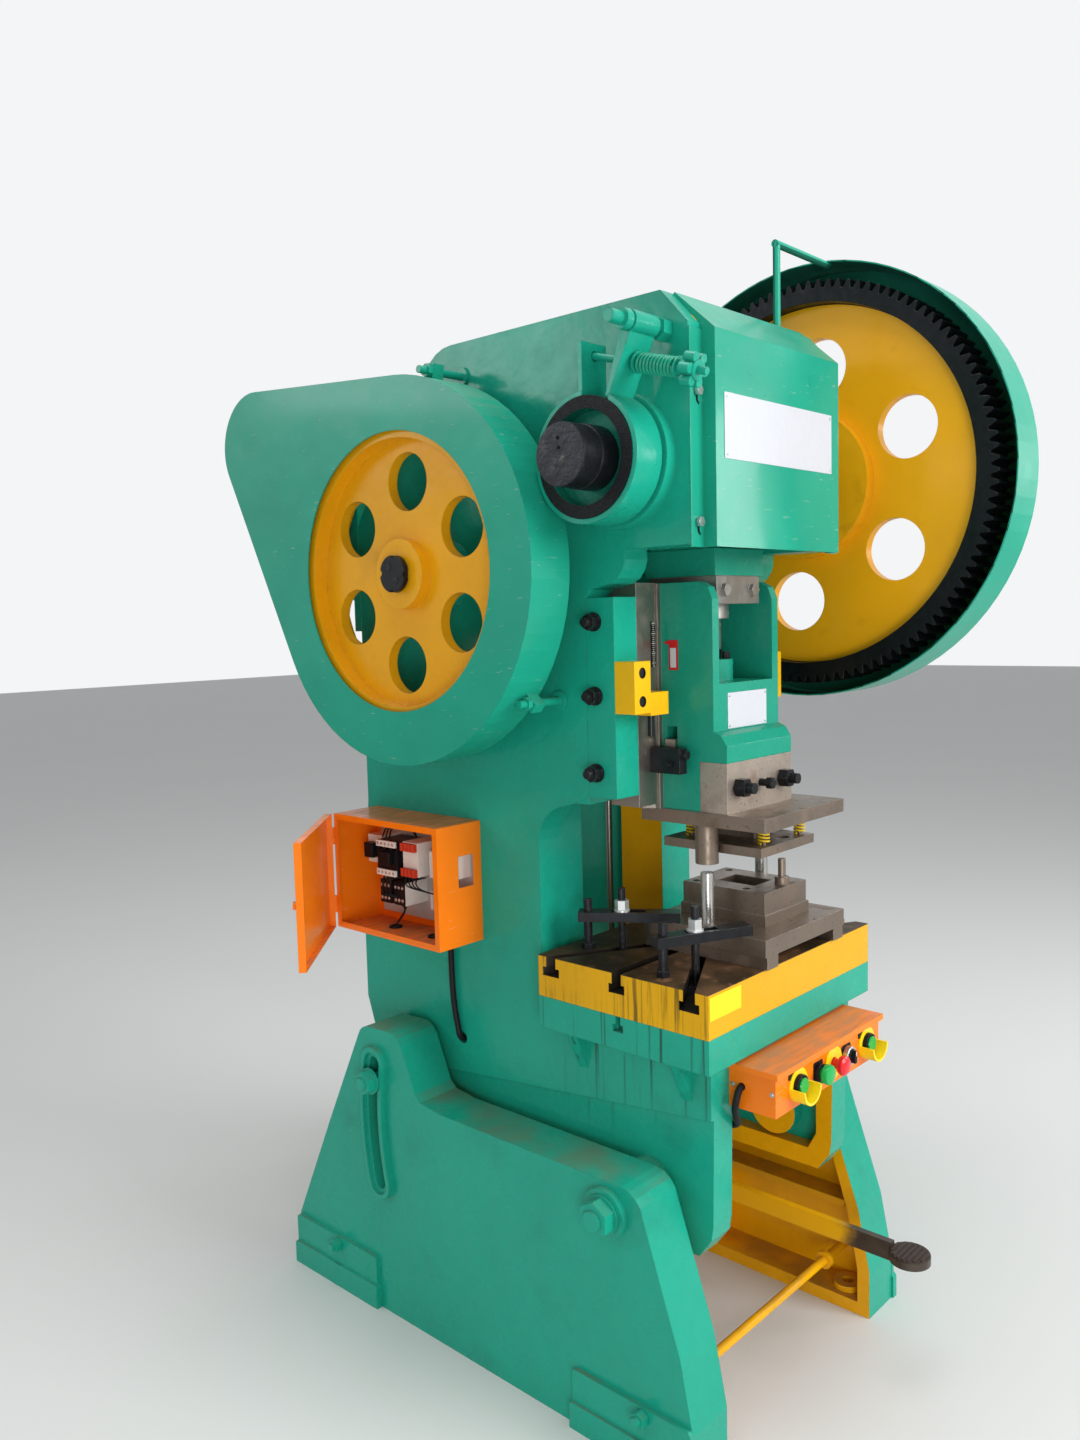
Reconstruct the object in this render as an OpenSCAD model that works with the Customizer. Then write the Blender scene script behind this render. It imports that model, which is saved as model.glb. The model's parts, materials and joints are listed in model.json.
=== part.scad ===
// Open-back inclinable eccentric press of the 400 kN class, with a two-post die set clamped in it.
// Millimetres, +Z up, +X to the operator's right, +Y to the back of the press.
// The origin is on the floor, straight below the crankshaft, midway between the frame's walls.

/* [Frame] */
// Width over the outer faces of the two side walls
frame_w = 544; // [536:1:556]
// Thickness of a side wall's plate
wall_t = 36; // [24:1:44]
// How far the walls' edge flanges reach inwards, from the wall's outer face
rim_depth = 72; // [60:1:76]
// Width of those flanges, measured in the wall's plane
rim_w = 42; // [30:1:50]
// Height of the table's top, which the bolster lies on
table_z = 832; // [825:1:836]
// Thickness of the cast table
table_t = 68; // [60:1:80]
// Front of the throat, behind the crankshaft's axis
throat_y = 242; // [240:1:250]
// Front of the head, before the crankshaft's axis
head_front = 157; // [155:1:162]
// Height of the head's underside
head_bottom = 1749; // [1747:1:1755]
// Height of the frame's top
frame_top = 2216; // [2210:1:2230]
// How far the upper walls stand proud of the lower ones
wall_step = 8; // [4:1:10]

/* [Tilting legs] */
// Gap between the frame's wall and a leg
leg_gap = 20; // [12:1:22]
// Width of a leg from its inner flange to its outer face
leg_w = 112; // [100:1:114]
// Thickness of a leg's outer plate
leg_plate = 24; // [16:1:32]
// Width of a leg's edge flange, measured in its plane
leg_rim = 30; // [22:1:36]
// Height of the tilting axis
pivot_z = 478; // [474:1:480]
// Radius of the tilting studs
pivot_r = 20; // [16:1:24]
// Radius of the clamping bolts in the curved slots
slot_bolt_r = 15; // [12:1:17]
// Radius of the tie rods between the legs
tie_r = 10; // [8:1:12]
// Distance between the foundation holes across the press
foundation_x = 680; // [660:1:700]
// Distance between the foundation holes from front to back
foundation_y = 1050; // [1000:1:1080]
// Radius of a foundation hole
foundation_r = 13; // [9:1:16]

/* [Crank drive] */
// Height of the crankshaft's axis
crank_z = 1914; // [1912:1:1920]
// Stroke of the ram
stroke = 80; // [70:1:84]
// Radius of the crankshaft's main journals
journal_r = 60; // [52:1:64]
// Radius of the crankpin
pin_r = 62; // [54:1:64]
// Gear module
gear_module = 8; // [7.9:0.05:8]
// Teeth of the crankshaft's gear
gear_teeth = 114; // [112:1:114]
// Teeth of the drive shaft's pinion
pinion_teeth = 20; // [18:1:20]
// Face width of the gear
gear_w = 95; // [80:1:100]
// How far the drive shaft lies below the crankshaft
shaft_drop = 192; // [188:1:196]
// Radius of the drive shaft
shaft_r = 37; // [30:1:38]
// Outer radius of the flywheel
flywheel_r = 380; // [370:1:385]
// Width of the flywheel's rim
flywheel_w = 88; // [70:1:90]
// Radius of the motor's pulley
pulley_r = 72; // [60:1:80]
// Radius of the brake drum
brake_r = 112; // [104:1:113]

/* [Ram] */
// Half the ram's width
ram_half = 123; // [120:1:126]
// Height of the ram's underside at the top of the stroke
ram_bottom = 1220; // [1216:1:1224]
// Radius of the screw that sets the die height
screw_r = 34; // [28:1:36]
// Radius of the tool shank
shank_r = 25; // [18:1:28]
// Running gap in the ram's guides
guide_gap = 0.3; // [0.1:0.05:0.5]

/* [Bolster and die set] */
// Bolster length across the press
bolster_w = 630; // [600:1:640]
// Bolster thickness
bolster_t = 87; // [86:1:88]
// Width of a T-slot's neck
slot_neck = 24; // [18:1:28]
// Width of a T-slot's wide part
slot_head = 40; // [36:1:42]
// Thickness of the lower die shoe
lower_shoe_t = 35; // [32:1:36]
// Thickness of the upper die shoe
upper_shoe_t = 28; // [24:1:30]
// Radius of the guide posts
post_r = 14; // [11:1:16]
// Depth of the stripper's travel
stripper_travel = 8; // [6:1:10]

/* [Guards and boxes] */
// Thickness of the guards' and covers' sheet metal
sheet_t = 3; // [2:0.5:4]
// Depth of the flywheel guard
guard_depth = 110; // [106:1:114]
// Radius of the round window in the flywheel guard
window_r = 296; // [280:1:310]
// Radius of the gear guard's hoop
hoop_r = 500; // [494:1:506]
// Width of the gear guard's hoop
hoop_w = 116; // [112:1:120]
// Depth of the flange on the far edge of the gear guard's hoop
hoop_flange = 72; // [60:1:80]
// Width of the push-button box
box_w = 420; // [410:1:430]
// Width of the electrical cabinet, from front to back
cabinet_w = 357; // [350:1:362]
// Height of the electrical cabinet
cabinet_h = 271; // [255:1:280]
// Depth of the electrical cabinet
cabinet_d = 132; // [125:1:136]
// How far the cabinet's door stands open
door_open = 47; // [40:1:60]

/* [Hidden] */
$fn = 96;

// Fits between pieces
run = 0.05;
face_gap = 0.3;

// Places that follow from the driving dimensions
wall_x = frame_w / 2;
low_x = wall_x - wall_step;
inner_x = wall_x - wall_t;
rim_x = wall_x - rim_depth;
throat_flange_y = 365;
neck_y = 101;
bolster_z = table_z + bolster_t;
leg_in = wall_x + leg_gap;
leg_out = leg_in + leg_w;
pivot_y = -33;
slot_radius = 700;
slot_angle = 6.8;
slot_low = -13.3;
slot_high = 10.2;
slot_bolt_y = pivot_y + slot_radius * cos(slot_angle);
slot_bolt_z = pivot_z + slot_radius * sin(slot_angle);
tie_z = 105;
tie_front = -118;
tie_rear = 817;
gear_pitch_r = gear_module * gear_teeth / 2;
pinion_pitch_r = gear_module * pinion_teeth / 2;
shaft_reach = gear_pitch_r + pinion_pitch_r;
shaft_y = sqrt(shaft_reach * shaft_reach - shaft_drop * shaft_drop);
shaft_z = crank_z - shaft_drop;
mesh_angle = -asin(shaft_drop / shaft_reach);
throw = stroke / 2;
gear_x = wall_x + 130;
guard_out = -wall_x - 165;
guard_in = guard_out + guard_depth;
fly_out = guard_out + 12;
motor_y = 985;
motor_z = 2045;
ram_front = -133;
shank_y = -68;
guide_front = 28;
guide_back = 92;
trip_at = [215, 450];
door_hinge = [-wall_x - cabinet_d - 2, 783];
cabinet_y = 778;
cabinet_z = 905;

// Profiles and simple solids

function arc(c, r, a0, a1, n) =
    [for (i = [0:n]) c + r * [cos(a0 + (a1 - a0) * i / n), sin(a0 + (a1 - a0) * i / n)]];

// Outline of two round ends joined by their outer tangents
function tangent_outline(c1, r1, c2, r2, n) =
    let (d = norm(c2 - c1), a = atan2(c2[1] - c1[1], c2[0] - c1[0]), b = acos((r1 - r2) / d))
    concat(arc(c1, r1, a + b, a + 360 - b, n), arc(c2, r2, a - b, a + b, n / 2));

// A polygon moved inwards by d, for a polygon given clockwise or anticlockwise
function area2(p) = let (n = len(p)) [for (i = 0, s = 0; i <= n; s = s + (i < n ? p[i][0]
    * p[(i + 1) % n][1] - p[(i + 1) % n][0] * p[i][1] : 0), i = i + 1) s][n];
function edge_normal(a, b) = [b[1] - a[1], a[0] - b[0]] / norm(b - a);
function inset(p, d) = let (n = len(p), s = area2(p) > 0 ? -1 : 1)
    [for (i = [0:n - 1]) let (u = s * edge_normal(p[(i + n - 1) % n], p[i]),
        v = s * edge_normal(p[i], p[(i + 1) % n])) p[i] + (u + v) * d / (1 + u * v)];

module box(x, y, z) translate([x[0], y[0], z[0]]) cube([x[1] - x[0], y[1] - y[0], z[1] - z[0]]);

// A profile drawn in Y and Z, made solid from x0 to x1
module plate_x(x0, x1) translate([x0, 0, 0]) rotate([90, 0, 90]) linear_extrude(x1 - x0) children();

// A profile drawn in X and Z, made solid from y0 to y1
module plate_y(y0, y1) translate([0, y1, 0]) rotate([90, 0, 0]) linear_extrude(y1 - y0) children();

module rod_x(x0, x1, y, z, r) translate([x0, y, z]) rotate([0, 90, 0]) cylinder(h = x1 - x0, r = r);
module rod_y(y0, y1, x, z, r) translate([x, y0, z]) rotate([-90, 0, 0]) cylinder(h = y1 - y0, r = r);
module rod_z(z0, z1, x, y, r) translate([x, y, z0]) cylinder(h = z1 - z0, r = r);
module hex_x(x0, x1, y, z, r) translate([x0, y, z]) rotate([0, 90, 0]) cylinder(h = x1 - x0, r = r, $fn = 6);
module hex_y(y0, y1, x, z, r) translate([x, y0, z]) rotate([-90, 0, 0]) cylinder(h = y1 - y0, r = r, $fn = 6);
module hex_z(z0, z1, x, y, r) translate([x, y, z0]) cylinder(h = z1 - z0, r = r, $fn = 6);
module both_sides() {
    children();
    mirror([1, 0, 0]) children();
}

// Side wall of the frame, in Y and Z

frame_outline = concat(
    [[-149, 370], [250, 370], [700, 475], [800, 565], [843, 690], [843, 880], [812, 1187],
        [812, 1850], [700, 2010], [575, 2140]],
    arc([469, frame_top - 100], 100, 32, 90, 4),
    [[-head_front + 60, frame_top], [-head_front, frame_top - 66], [-head_front, head_bottom + 6],
        [-head_front + 6, head_bottom]],
    arc([52, head_bottom - 12], 56, 168, 250, 4),
    [[87, 1674], [neck_y, 1658], [neck_y, 1262]],
    [[117, 1249], [150, 1236]],
    arc([throat_y - 80, 1150], 80, 66, 0, 4),
    [[throat_y, table_z], [-187, table_z], [-187, 640], [-183, 440], [-178, 410]]);

// Inner edge of the wall's flanges, taken from the outline's main corners
frame_window = inset([[-149, 370], [250, 370], [700, 475], [800, 565], [843, 690], [843, 880],
    [812, 1187], [812, 1850], [700, 2010], [560, 2160], [480, frame_top], [-head_front + 57, frame_top],
    [-head_front, frame_top - 66], [-head_front, head_bottom], [-4, head_bottom], [30, 1700],
    [neck_y, 1660], [neck_y, 1260], [215, 1205], [throat_y, 1140], [throat_y, table_z],
    [-187, table_z], [-187, 440]], rim_w);

module wall_blank() polygon(frame_outline);
module wall_rim() difference() {
    polygon(frame_outline);
    polygon(frame_window);
}

module frame_half() {
    plate_x(inner_x, wall_x) wall_blank();
    plate_x(rim_x, inner_x + 1) wall_rim();
    // Bearing bosses and the bosses that the legs bear on
    rod_x(inner_x - 30, wall_x + 28, 0, crank_z, 128);
    rod_x(inner_x - 30, wall_x + 50, shaft_y, shaft_z, 78);
    rod_x(rim_x, leg_in - face_gap, pivot_y, pivot_z, 58);
    rod_x(rim_x, leg_in - face_gap, slot_bolt_y, slot_bolt_z, 48);
}

module frame_bores() {
    rod_x(rim_x - 60, wall_x + 60, 0, crank_z, journal_r + 14);
    rod_x(rim_x - 60, wall_x + 60, shaft_y, shaft_z, shaft_r + 14);
    rod_x(rim_x - 60, leg_in + 60, pivot_y, pivot_z, pivot_r);
    rod_x(rim_x - 60, leg_in + 60, slot_bolt_y, slot_bolt_z, slot_bolt_r);
    // The lower walls stand back a little
    difference() {
        plate_x(low_x, wall_x + 1)
            polygon([[-400, 300], [-400, 679], [289, 602], [900, 534], [900, 300]]);
        rod_x(low_x - 1, leg_in + 1, pivot_y, pivot_z, 58);
        rod_x(low_x - 1, leg_in + 1, slot_bolt_y, slot_bolt_z, 48);
    }
}

module frame() color("#12a07c") difference() {
    union() {
        both_sides() difference() {
            frame_half();
            frame_bores();
        }
        // Throat and neck columns
        box([-wall_x + 1, -134], [throat_y, throat_flange_y], [640, 1262]);
        box([160, wall_x - 1], [throat_y, throat_flange_y], [640, 1262]);
        both_sides() box([ram_half + 13, wall_x - 1], [neck_y, throat_y + 10], [1240, 1658]);
        // Table
        difference() {
            union() {
                box([-bolster_w / 2, bolster_w / 2], [-213, throat_y - 28], [table_z - table_t, table_z]);
                plate_x(-wall_x + 1, wall_x - 1) polygon([[-187, table_z - table_t + 1],
                    [200, table_z - table_t + 1], [159, table_z - 104], [-171, table_z - 90]]);
                both_sides() for (y = [-142, 120]) plate_y(y, y + 24) polygon([
                    [bolster_w / 2 - 6, table_z - table_t + 1], [wall_x - 1, table_z - 152],
                    [rim_x, table_z - 172], [rim_x, table_z - table_t + 1]]);
            }
            rod_z(600, table_z + 1, 0, shank_y, 75);
            // Tee notches in the table's ends
            both_sides() {
                box([bolster_w / 2 - 12, bolster_w / 2 + 1], [-3, 9], [table_z - 18, table_z + 1]);
                box([bolster_w / 2 - 12, bolster_w / 2 + 1], [-10, 16], [table_z - 32, table_z - 17]);
            }
        }
        // Plates between the walls at the top and the back, and the cross bar at the bottom
        box([-wall_x + 1, wall_x - 1], [-head_front + 61, 469], [frame_top - 40, frame_top]);
        box([-wall_x + 1, wall_x - 1], [772, 811], [1480, 1840]);
        box([-wall_x + 1, wall_x - 1], [803, 842], [700, 870]);
        box([-wall_x + 1, wall_x - 1], [130, 250], [370.5, 400]);
        // Ears that carry the pedal's pin
        for (x = [118, 165])
            plate_x(x, x + 18) polygon([[140, 390], [250, 390], [226, 250], [174, 250]]);
        // Guide of the trip rod, on the right wall
        box([200, inner_x + 1], [432, 468], [1500, 1530]);
    }
    rod_x(100, 200, 200, 274, 12);
    rod_z(1490, 1540, trip_at[0], trip_at[1], 8 + run);
    rod_z(390, 500, trip_at[0], trip_at[1], 10);
    rod_x(-wall_x - 1, -inner_x + 1, cable_wall[0], cable_wall[1] + 2, 2 * cable_r);
}

module tilt_studs() color("#17a383") both_sides() {
    rod_x(rim_x, leg_out + 50, pivot_y, pivot_z, pivot_r);
    hex_x(leg_out + 18 + face_gap, leg_out + 44, pivot_y, pivot_z, 36);
    rod_x(leg_out + 14 + face_gap, leg_out + 18 + face_gap, pivot_y, pivot_z, 40);
}

module slot_bolts() color("#17a383") both_sides() {
    rod_x(rim_x, leg_out + 46, slot_bolt_y, slot_bolt_z, slot_bolt_r);
    hex_x(leg_out + 19, leg_out + 41, slot_bolt_y, slot_bolt_z, 28);
    rod_x(leg_out + 14 + face_gap, leg_out + 19, slot_bolt_y, slot_bolt_z, 31);
}

// Legs

leg_outline = concat(
    [[-228, 0], [-228, 112], [-201, 252]],
    arc([-67, 486], 54, 172, 92, 4),
    [[439, 537], [505, 545], [522, 560]],
    arc([606, 640], 46, 150, 82, 3),
    arc([680, 642], 40, 75, 20, 3),
    [[844, 409], [985, 125], [985, 0]]);

function leg_window(d) = inset([[-228, 0], [-228, 112], [-201, 252], [-125, 500], [-67, 545],
    [439, 537], [520, 552], [566, 675], [700, 675], [844, 409], [985, 125], [985, 0]], d);

// Curved slot on the tilting axis, widened by w
function slot_end(a) = [pivot_y, pivot_z] + slot_radius * [cos(a), sin(a)];
module slot_area(w) polygon(concat(
    arc([pivot_y, pivot_z], slot_radius + w, slot_low, slot_high, 16),
    arc(slot_end(slot_high), w, slot_high + 15, slot_high + 165, 10),
    arc([pivot_y, pivot_z], slot_radius - w, slot_high, slot_low, 16),
    arc(slot_end(slot_low), w, slot_low + 195, slot_low + 345, 10)));

module leg() difference() {
    union() {
        plate_x(leg_out - leg_plate, leg_out) polygon(leg_outline);
        plate_x(leg_in, leg_out - 1) difference() {
            polygon(leg_outline);
            polygon(leg_window(leg_rim));
        }
        // Bosses for the tilting stud and round the curved slot
        rod_x(leg_in, leg_out + 14, pivot_y, pivot_z, 50);
        plate_x(leg_in, leg_out + 14) intersection() {
            slot_area(slot_bolt_r + 24);
            polygon(leg_window(4));
        }
        // Feet, with their foundation pads
        for (y = [[-233, 63], [668, 990]]) {
            plate_x(leg_out - 1, leg_out + 10) polygon([[y[0] + 4, 0], [y[1] - 4, 0], [y[1] - 4, 118],
                [y[1] - 10, 124], [y[0] + 10, 124], [y[0] + 4, 118]]);
            plate_x(leg_out - 1, leg_out + 16) polygon([[y[0], 0], [y[1], 0], [y[1], 50],
                [y[1] - 5, 56], [y[0] + 5, 56], [y[0], 50]]);
        }
        for (y = [375 - foundation_y / 2, 375 + foundation_y / 2])
            rod_z(0, 44, foundation_x / 2, y, 34);
        // Ribs on the inner side
        for (y = [200, 420]) box([leg_in + 8, leg_out - 1], [y, y + 16], [leg_rim - 1, 510]);
        box([leg_in + 30, leg_out - 1], [-150, 840], [230, 246]);
    }
    rod_x(leg_in - 1, leg_out + 20, pivot_y, pivot_z, pivot_r + run);
    plate_x(leg_in - 1, leg_out + 20) slot_area(slot_bolt_r + 1);
    plate_x(leg_out + 6, leg_out + 20) slot_area(slot_bolt_r + 12);
    for (y = [tie_front, tie_rear]) rod_x(leg_in - 1, leg_out + 20, y, tie_z, tie_r + run);
    for (y = [375 - foundation_y / 2, 375 + foundation_y / 2])
        rod_z(-1, 60, foundation_x / 2, y, foundation_r);
}

module left_leg() color("#17a383") mirror([1, 0, 0]) leg();
module right_leg() color("#17a383") leg();

module tie_rods() color("#e8b400") for (y = [tie_front, tie_rear]) {
    rod_x(-leg_out - 36, leg_out + 36, y, tie_z, tie_r);
    both_sides() {
        hex_x(leg_out + 10 + face_gap, leg_out + 28, y, tie_z, 1.7 * tie_r);
        rod_x(leg_in - 12, leg_in, y, tie_z, 2 * tie_r);
    }
}

// Guides of the ram

function rail_plan(gap) = [[90, guide_front - 4], [ram_half + 12 + gap, guide_front - 4],
    [ram_half + 12 + gap, guide_front + 8], [ram_half + 27 + gap, (guide_front + guide_back) / 2],
    [ram_half + 12 + gap, guide_back - 8], [ram_half + 12 + gap, guide_back + gap], [90, guide_back + gap]];

module gib_blocks() color("#14a586") both_sides()
    box([rim_x, wall_x], [guide_front, neck_y], [1257, 1658]);

module gib_strips() color("#8c8f90") both_sides() difference() {
    box([ram_half + 12 + guide_gap, rim_x], [guide_front, neck_y], [1231, 1686]);
    translate([0, 0, 1230]) linear_extrude(460) polygon(rail_plan(guide_gap));
}

module gib_bolts() color("#202326") both_sides() for (z = [1307, 1462, 1610]) {
    rod_x(wall_x, wall_x + 5, 78, z, 19);
    hex_x(wall_x + 5, wall_x + 22, 78, z, 17);
    rod_x(wall_x + 22, wall_x + 34, 78, z, 9);
}

// Brackets that stop the knock-out bar
module stop_brackets() color("#e3b21c") both_sides() {
    difference() {
        union() {
            box([wall_x - 52, wall_x], [-21, guide_front], [1428, 1531]);
            box([wall_x - 110, wall_x - 51], [-21, guide_front], [1422, 1468]);
        }
        for (z = [1452, 1508]) rod_y(-22, -9, wall_x - 26, z, 11);
    }
    for (z = [1452, 1508]) rod_y(-18, -9, wall_x - 26, z, 9);
    rod_z(1378, 1422, wall_x - 84, 4, 7);
}

module limit_brackets() color("#1c1e20") both_sides() {
    box([ram_half + 13, ram_half + 38], [-45, guide_front], [1299, 1351]);
    rod_y(-56, -45, ram_half + 25, 1338, 9);
    rod_x(ram_half + 38, ram_half + 50, -20, 1318, 7);
}

// Bolster with T-slots that run out from its middle

slot_depth = 41;
slot_mid = 5;
slot_turn = 29;
module bolster() color("#b9ac7c") difference() {
    box([-bolster_w / 2, bolster_w / 2], [-213, throat_y - 28], [table_z, bolster_z]);
    for (side = [0, 180], a = [-slot_turn, 0, slot_turn])
        translate([0, slot_mid, 0]) rotate([0, 0, side + a]) {
            box([100, bolster_w], [-slot_neck / 2, slot_neck / 2],
                [bolster_z - slot_depth, bolster_z + 1]);
            box([100, bolster_w], [-slot_head / 2, slot_head / 2],
                [bolster_z - slot_depth, bolster_z - slot_depth + 18]);
        }
    rod_z(table_z - 1, bolster_z + 1, 0, shank_y, 50);
}

// Head cover

cover_plan = [[-228, -head_front], [-wall_x, -head_front], [-wall_x, -head_front - sheet_t],
    [-228 - sheet_t, -head_front - sheet_t], [-228 - sheet_t, -head_front - 31],
    [228 + sheet_t, -head_front - 31], [228 + sheet_t, -head_front - sheet_t],
    [wall_x, -head_front - sheet_t], [wall_x, -head_front], [228, -head_front],
    [228, -head_front - 31 + sheet_t], [-228, -head_front - 31 + sheet_t]];

module head_cover() color("#12a07c") {
    difference() {
        translate([0, 0, head_bottom - 5]) linear_extrude(frame_top - 71 - head_bottom) polygon(cover_plan);
        for (x = [-250, 250], z = [2028, 1790]) rod_y(-200, -100, x, z, 7);
    }
    plate_x(-228, 228) polygon([[-head_front - 31, frame_top - 76],
        [-head_front - 31 + sheet_t, frame_top - 76], [-head_front + 57 + sheet_t, frame_top],
        [-head_front + 57, frame_top + sheet_t]]);
    both_sides() plate_x(228, 228 + sheet_t) polygon([[-head_front - 31, frame_top - 76],
        [-head_front, frame_top - 76], [-head_front, frame_top - 66], [-head_front + 60, frame_top],
        [-head_front + 57, frame_top + sheet_t]]);
}

module cover_screws() color("#2a2d2e") for (x = [-250, 250], z = [2028, 1790]) {
    rod_y(-head_front - sheet_t - 2, -head_front, x, z, 6);
    hex_y(-head_front - sheet_t - 9, -head_front - sheet_t - 2, x, z, 10);
}

// Push-button box under the table

box_front = -290;
box_back = -187;
box_z = [668, 757];
button_z = 711;
box_entry = [-216, 713];
button_x = [-129, -51, 9, 64, 152];

module control_box() color("#f07014") difference() {
    box([-box_w / 2, box_w / 2], [box_front, box_back], [box_z[0], box_z[1] - 2]);
    box([-box_w / 2 + 2, box_w / 2 - 2], [box_front + 2, box_back - 2], [box_z[0] + 2, box_z[1] + 1]);
    for (x = button_x) rod_y(box_front - 1, box_front + 3, x, button_z, 11);
    rod_x(-box_w / 2 - 1, -box_w / 2 + 3, box_entry[0], box_entry[1], cable_r + 0.5);
}

module control_lid() color("#f07014") {
    box([-box_w / 2 - 6, box_w / 2 + 6], [box_front - 8, box_back], [box_z[1] - 2, box_z[1]]);
    box([-box_w / 2 - 6, box_w / 2 + 6], [box_front - 8, box_front - 6], [box_z[1] - 12, box_z[1] - 1]);
    both_sides()
        box([box_w / 2 + 4, box_w / 2 + 6], [box_front - 7, box_back], [box_z[1] - 12, box_z[1] - 1]);
}

// Half-round collars beside the hand buttons, and the disc behind the stop button
module button_guards() color("#f2c811") {
    for (x = [button_x[0], button_x[4]]) difference() {
        rod_y(box_front - 34, box_front, x, button_z, 33);
        rod_y(box_front - 35, box_front - 3, x, button_z, 28);
        rod_y(box_front - 4, box_front + 1, x, button_z, 12);
        box([x - 40, x + 40], [box_front - 40, box_front - 3], [button_z, button_z + 40]);
    }
    difference() {
        rod_y(box_front - 3, box_front, button_x[2], button_z, 34);
        rod_y(box_front - 4, box_front + 1, button_x[2], button_z, 12);
    }
}

// A push button: cap, bezel and plunger
module push_button(x, cap_r, cap_y, cap_t, colour) color(colour) {
    rod_y(box_front - cap_y - cap_t, box_front - cap_y, x, button_z, cap_r);
    rod_y(box_front - cap_y - 1, box_front + 26, x, button_z, 10.5);
}
module left_button() push_button(button_x[0], 16, 12, 10, "#159b42");
module start_button() push_button(button_x[1], 20, 16, 10, "#18a54c");
module stop_button() push_button(button_x[2], 20, 16, 12, "#d81b1b");
module selector() color("#b9bcbd") {
    rod_y(box_front - 15, box_front - 3, button_x[3], button_z, 14);
    rod_y(box_front - 4, box_front + 26, button_x[3], button_z, 10.5);
    box([button_x[3] - 4, button_x[3] + 4], [box_front - 24, box_front - 14],
        [button_z - 13, button_z + 13]);
}
module right_button() push_button(button_x[4], 16, 12, 10, "#159b42");

// Electrical cabinet on the left wall

module cabinet() color("#f07014") {
    difference() {
        box([-wall_x - cabinet_d, -wall_x], [cabinet_y - cabinet_w, cabinet_y],
            [cabinet_z, cabinet_z + cabinet_h]);
        box([-wall_x - cabinet_d - 1, -wall_x - 2], [cabinet_y - cabinet_w + 2, cabinet_y - 2],
            [cabinet_z + 2, cabinet_z + cabinet_h - 2]);
        box([-wall_x - 70, -wall_x - 24], [cabinet_y - cabinet_w - 1, cabinet_y - cabinet_w + 3],
            [cabinet_z + 130, cabinet_z + 200]);
        for (y = [520, 655]) rod_z(cabinet_z - 1, cabinet_z + 3, -wall_x - 58, y, 14);
        rod_z(cabinet_z - 1, cabinet_z + 3, cable_out, 520, cable_r + 0.5);
    }
    // Narrow flange round the opening, and two hinge barrels
    difference() {
        box([-wall_x - cabinet_d, -wall_x - cabinet_d + 2], [cabinet_y - cabinet_w, cabinet_y],
            [cabinet_z, cabinet_z + cabinet_h]);
        box([-wall_x - cabinet_d - 1, -wall_x - cabinet_d + 3],
            [cabinet_y - cabinet_w + 14, cabinet_y - 14],
            [cabinet_z + 14, cabinet_z + cabinet_h - 14]);
    }
    for (z = [cabinet_z + 34, cabinet_z + cabinet_h - 74]) {
        rod_z(z, z + 19.7, door_hinge[0], door_hinge[1], 5);
        rod_z(z + 19, z + 40, door_hinge[0], door_hinge[1], 2.5);
        box([door_hinge[0] + 1, -wall_x - cabinet_d + 12], [cabinet_y - 0.5, door_hinge[1] + 2],
            [z, z + 19.7]);
    }
}

module cabinet_fittings() {
    back = -wall_x - 2;
    // Mounting plate, contactor, relay, terminal rows and the main switch
    color("#c8cac6") box([back - 2, back], [cabinet_y - cabinet_w + 20, cabinet_y - 16],
        [cabinet_z + 18, cabinet_z + cabinet_h - 18]);
    color("#1d1f22") difference() {
        box([back - 82, back - 2], [610, 680], [cabinet_z + 132, cabinet_z + 212]);
        for (y = [622, 645, 668])
            box([back - 90, back - 70], [y - 7, y + 7], [cabinet_z + 190, cabinet_z + 213]);
    }
    color("#e9e9e4") box([back - 76, back - 2], [545, 596], [cabinet_z + 138, cabinet_z + 216]);
    color("#e9e9e4") box([back - 60, back - 2], [690, 740], [cabinet_z + 150, cabinet_z + 216]);
    color("#2a2c2e") for (y = [600, 648])
        box([back - 70, back - 2], [y, y + 40], [cabinet_z + 62, cabinet_z + 116]);
    color("#dddcd6") for (i = [0:7])
        box([back - 46, back - 2], [470 + i * 9, 477 + i * 9], [cabinet_z + 60, cabinet_z + 104]);
    color("#dddcd6") box([back - 64, back - 2], [452, 520], [cabinet_z + 140, cabinet_z + 200]);
}

// The door is drawn closed and then turned open about its hinge
module cabinet_door() color("#f07014") translate([door_hinge[0], door_hinge[1], 0])
    rotate([0, 0, -door_open]) translate([-door_hinge[0], -door_hinge[1], 0]) {
        difference() {
            box([door_hinge[0] - 15, door_hinge[0] + 1], [cabinet_y - cabinet_w, cabinet_y - 1],
                [cabinet_z, cabinet_z + cabinet_h]);
            box([door_hinge[0] - 13, door_hinge[0] + 2], [cabinet_y - cabinet_w + 2, cabinet_y - 3],
                [cabinet_z + 2, cabinet_z + cabinet_h - 2]);
        }
        for (z = [cabinet_z + 34, cabinet_z + cabinet_h - 74]) difference() {
            union() {
                rod_z(z + 20, z + 40, door_hinge[0], door_hinge[1], 5);
                box([door_hinge[0] - 9, door_hinge[0] - 1], [cabinet_y - 1.5, door_hinge[1] + 2],
                    [z + 20, z + 40]);
            }
            rod_z(z + 19, z + 41, door_hinge[0], door_hinge[1], 2.5 + run);
        }
        rod_x(door_hinge[0] - 25, door_hinge[0] - 15, cabinet_y - cabinet_w + 24,
            cabinet_z + cabinet_h / 2, 9);
    }

// Motor and its plate at the back

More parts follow.
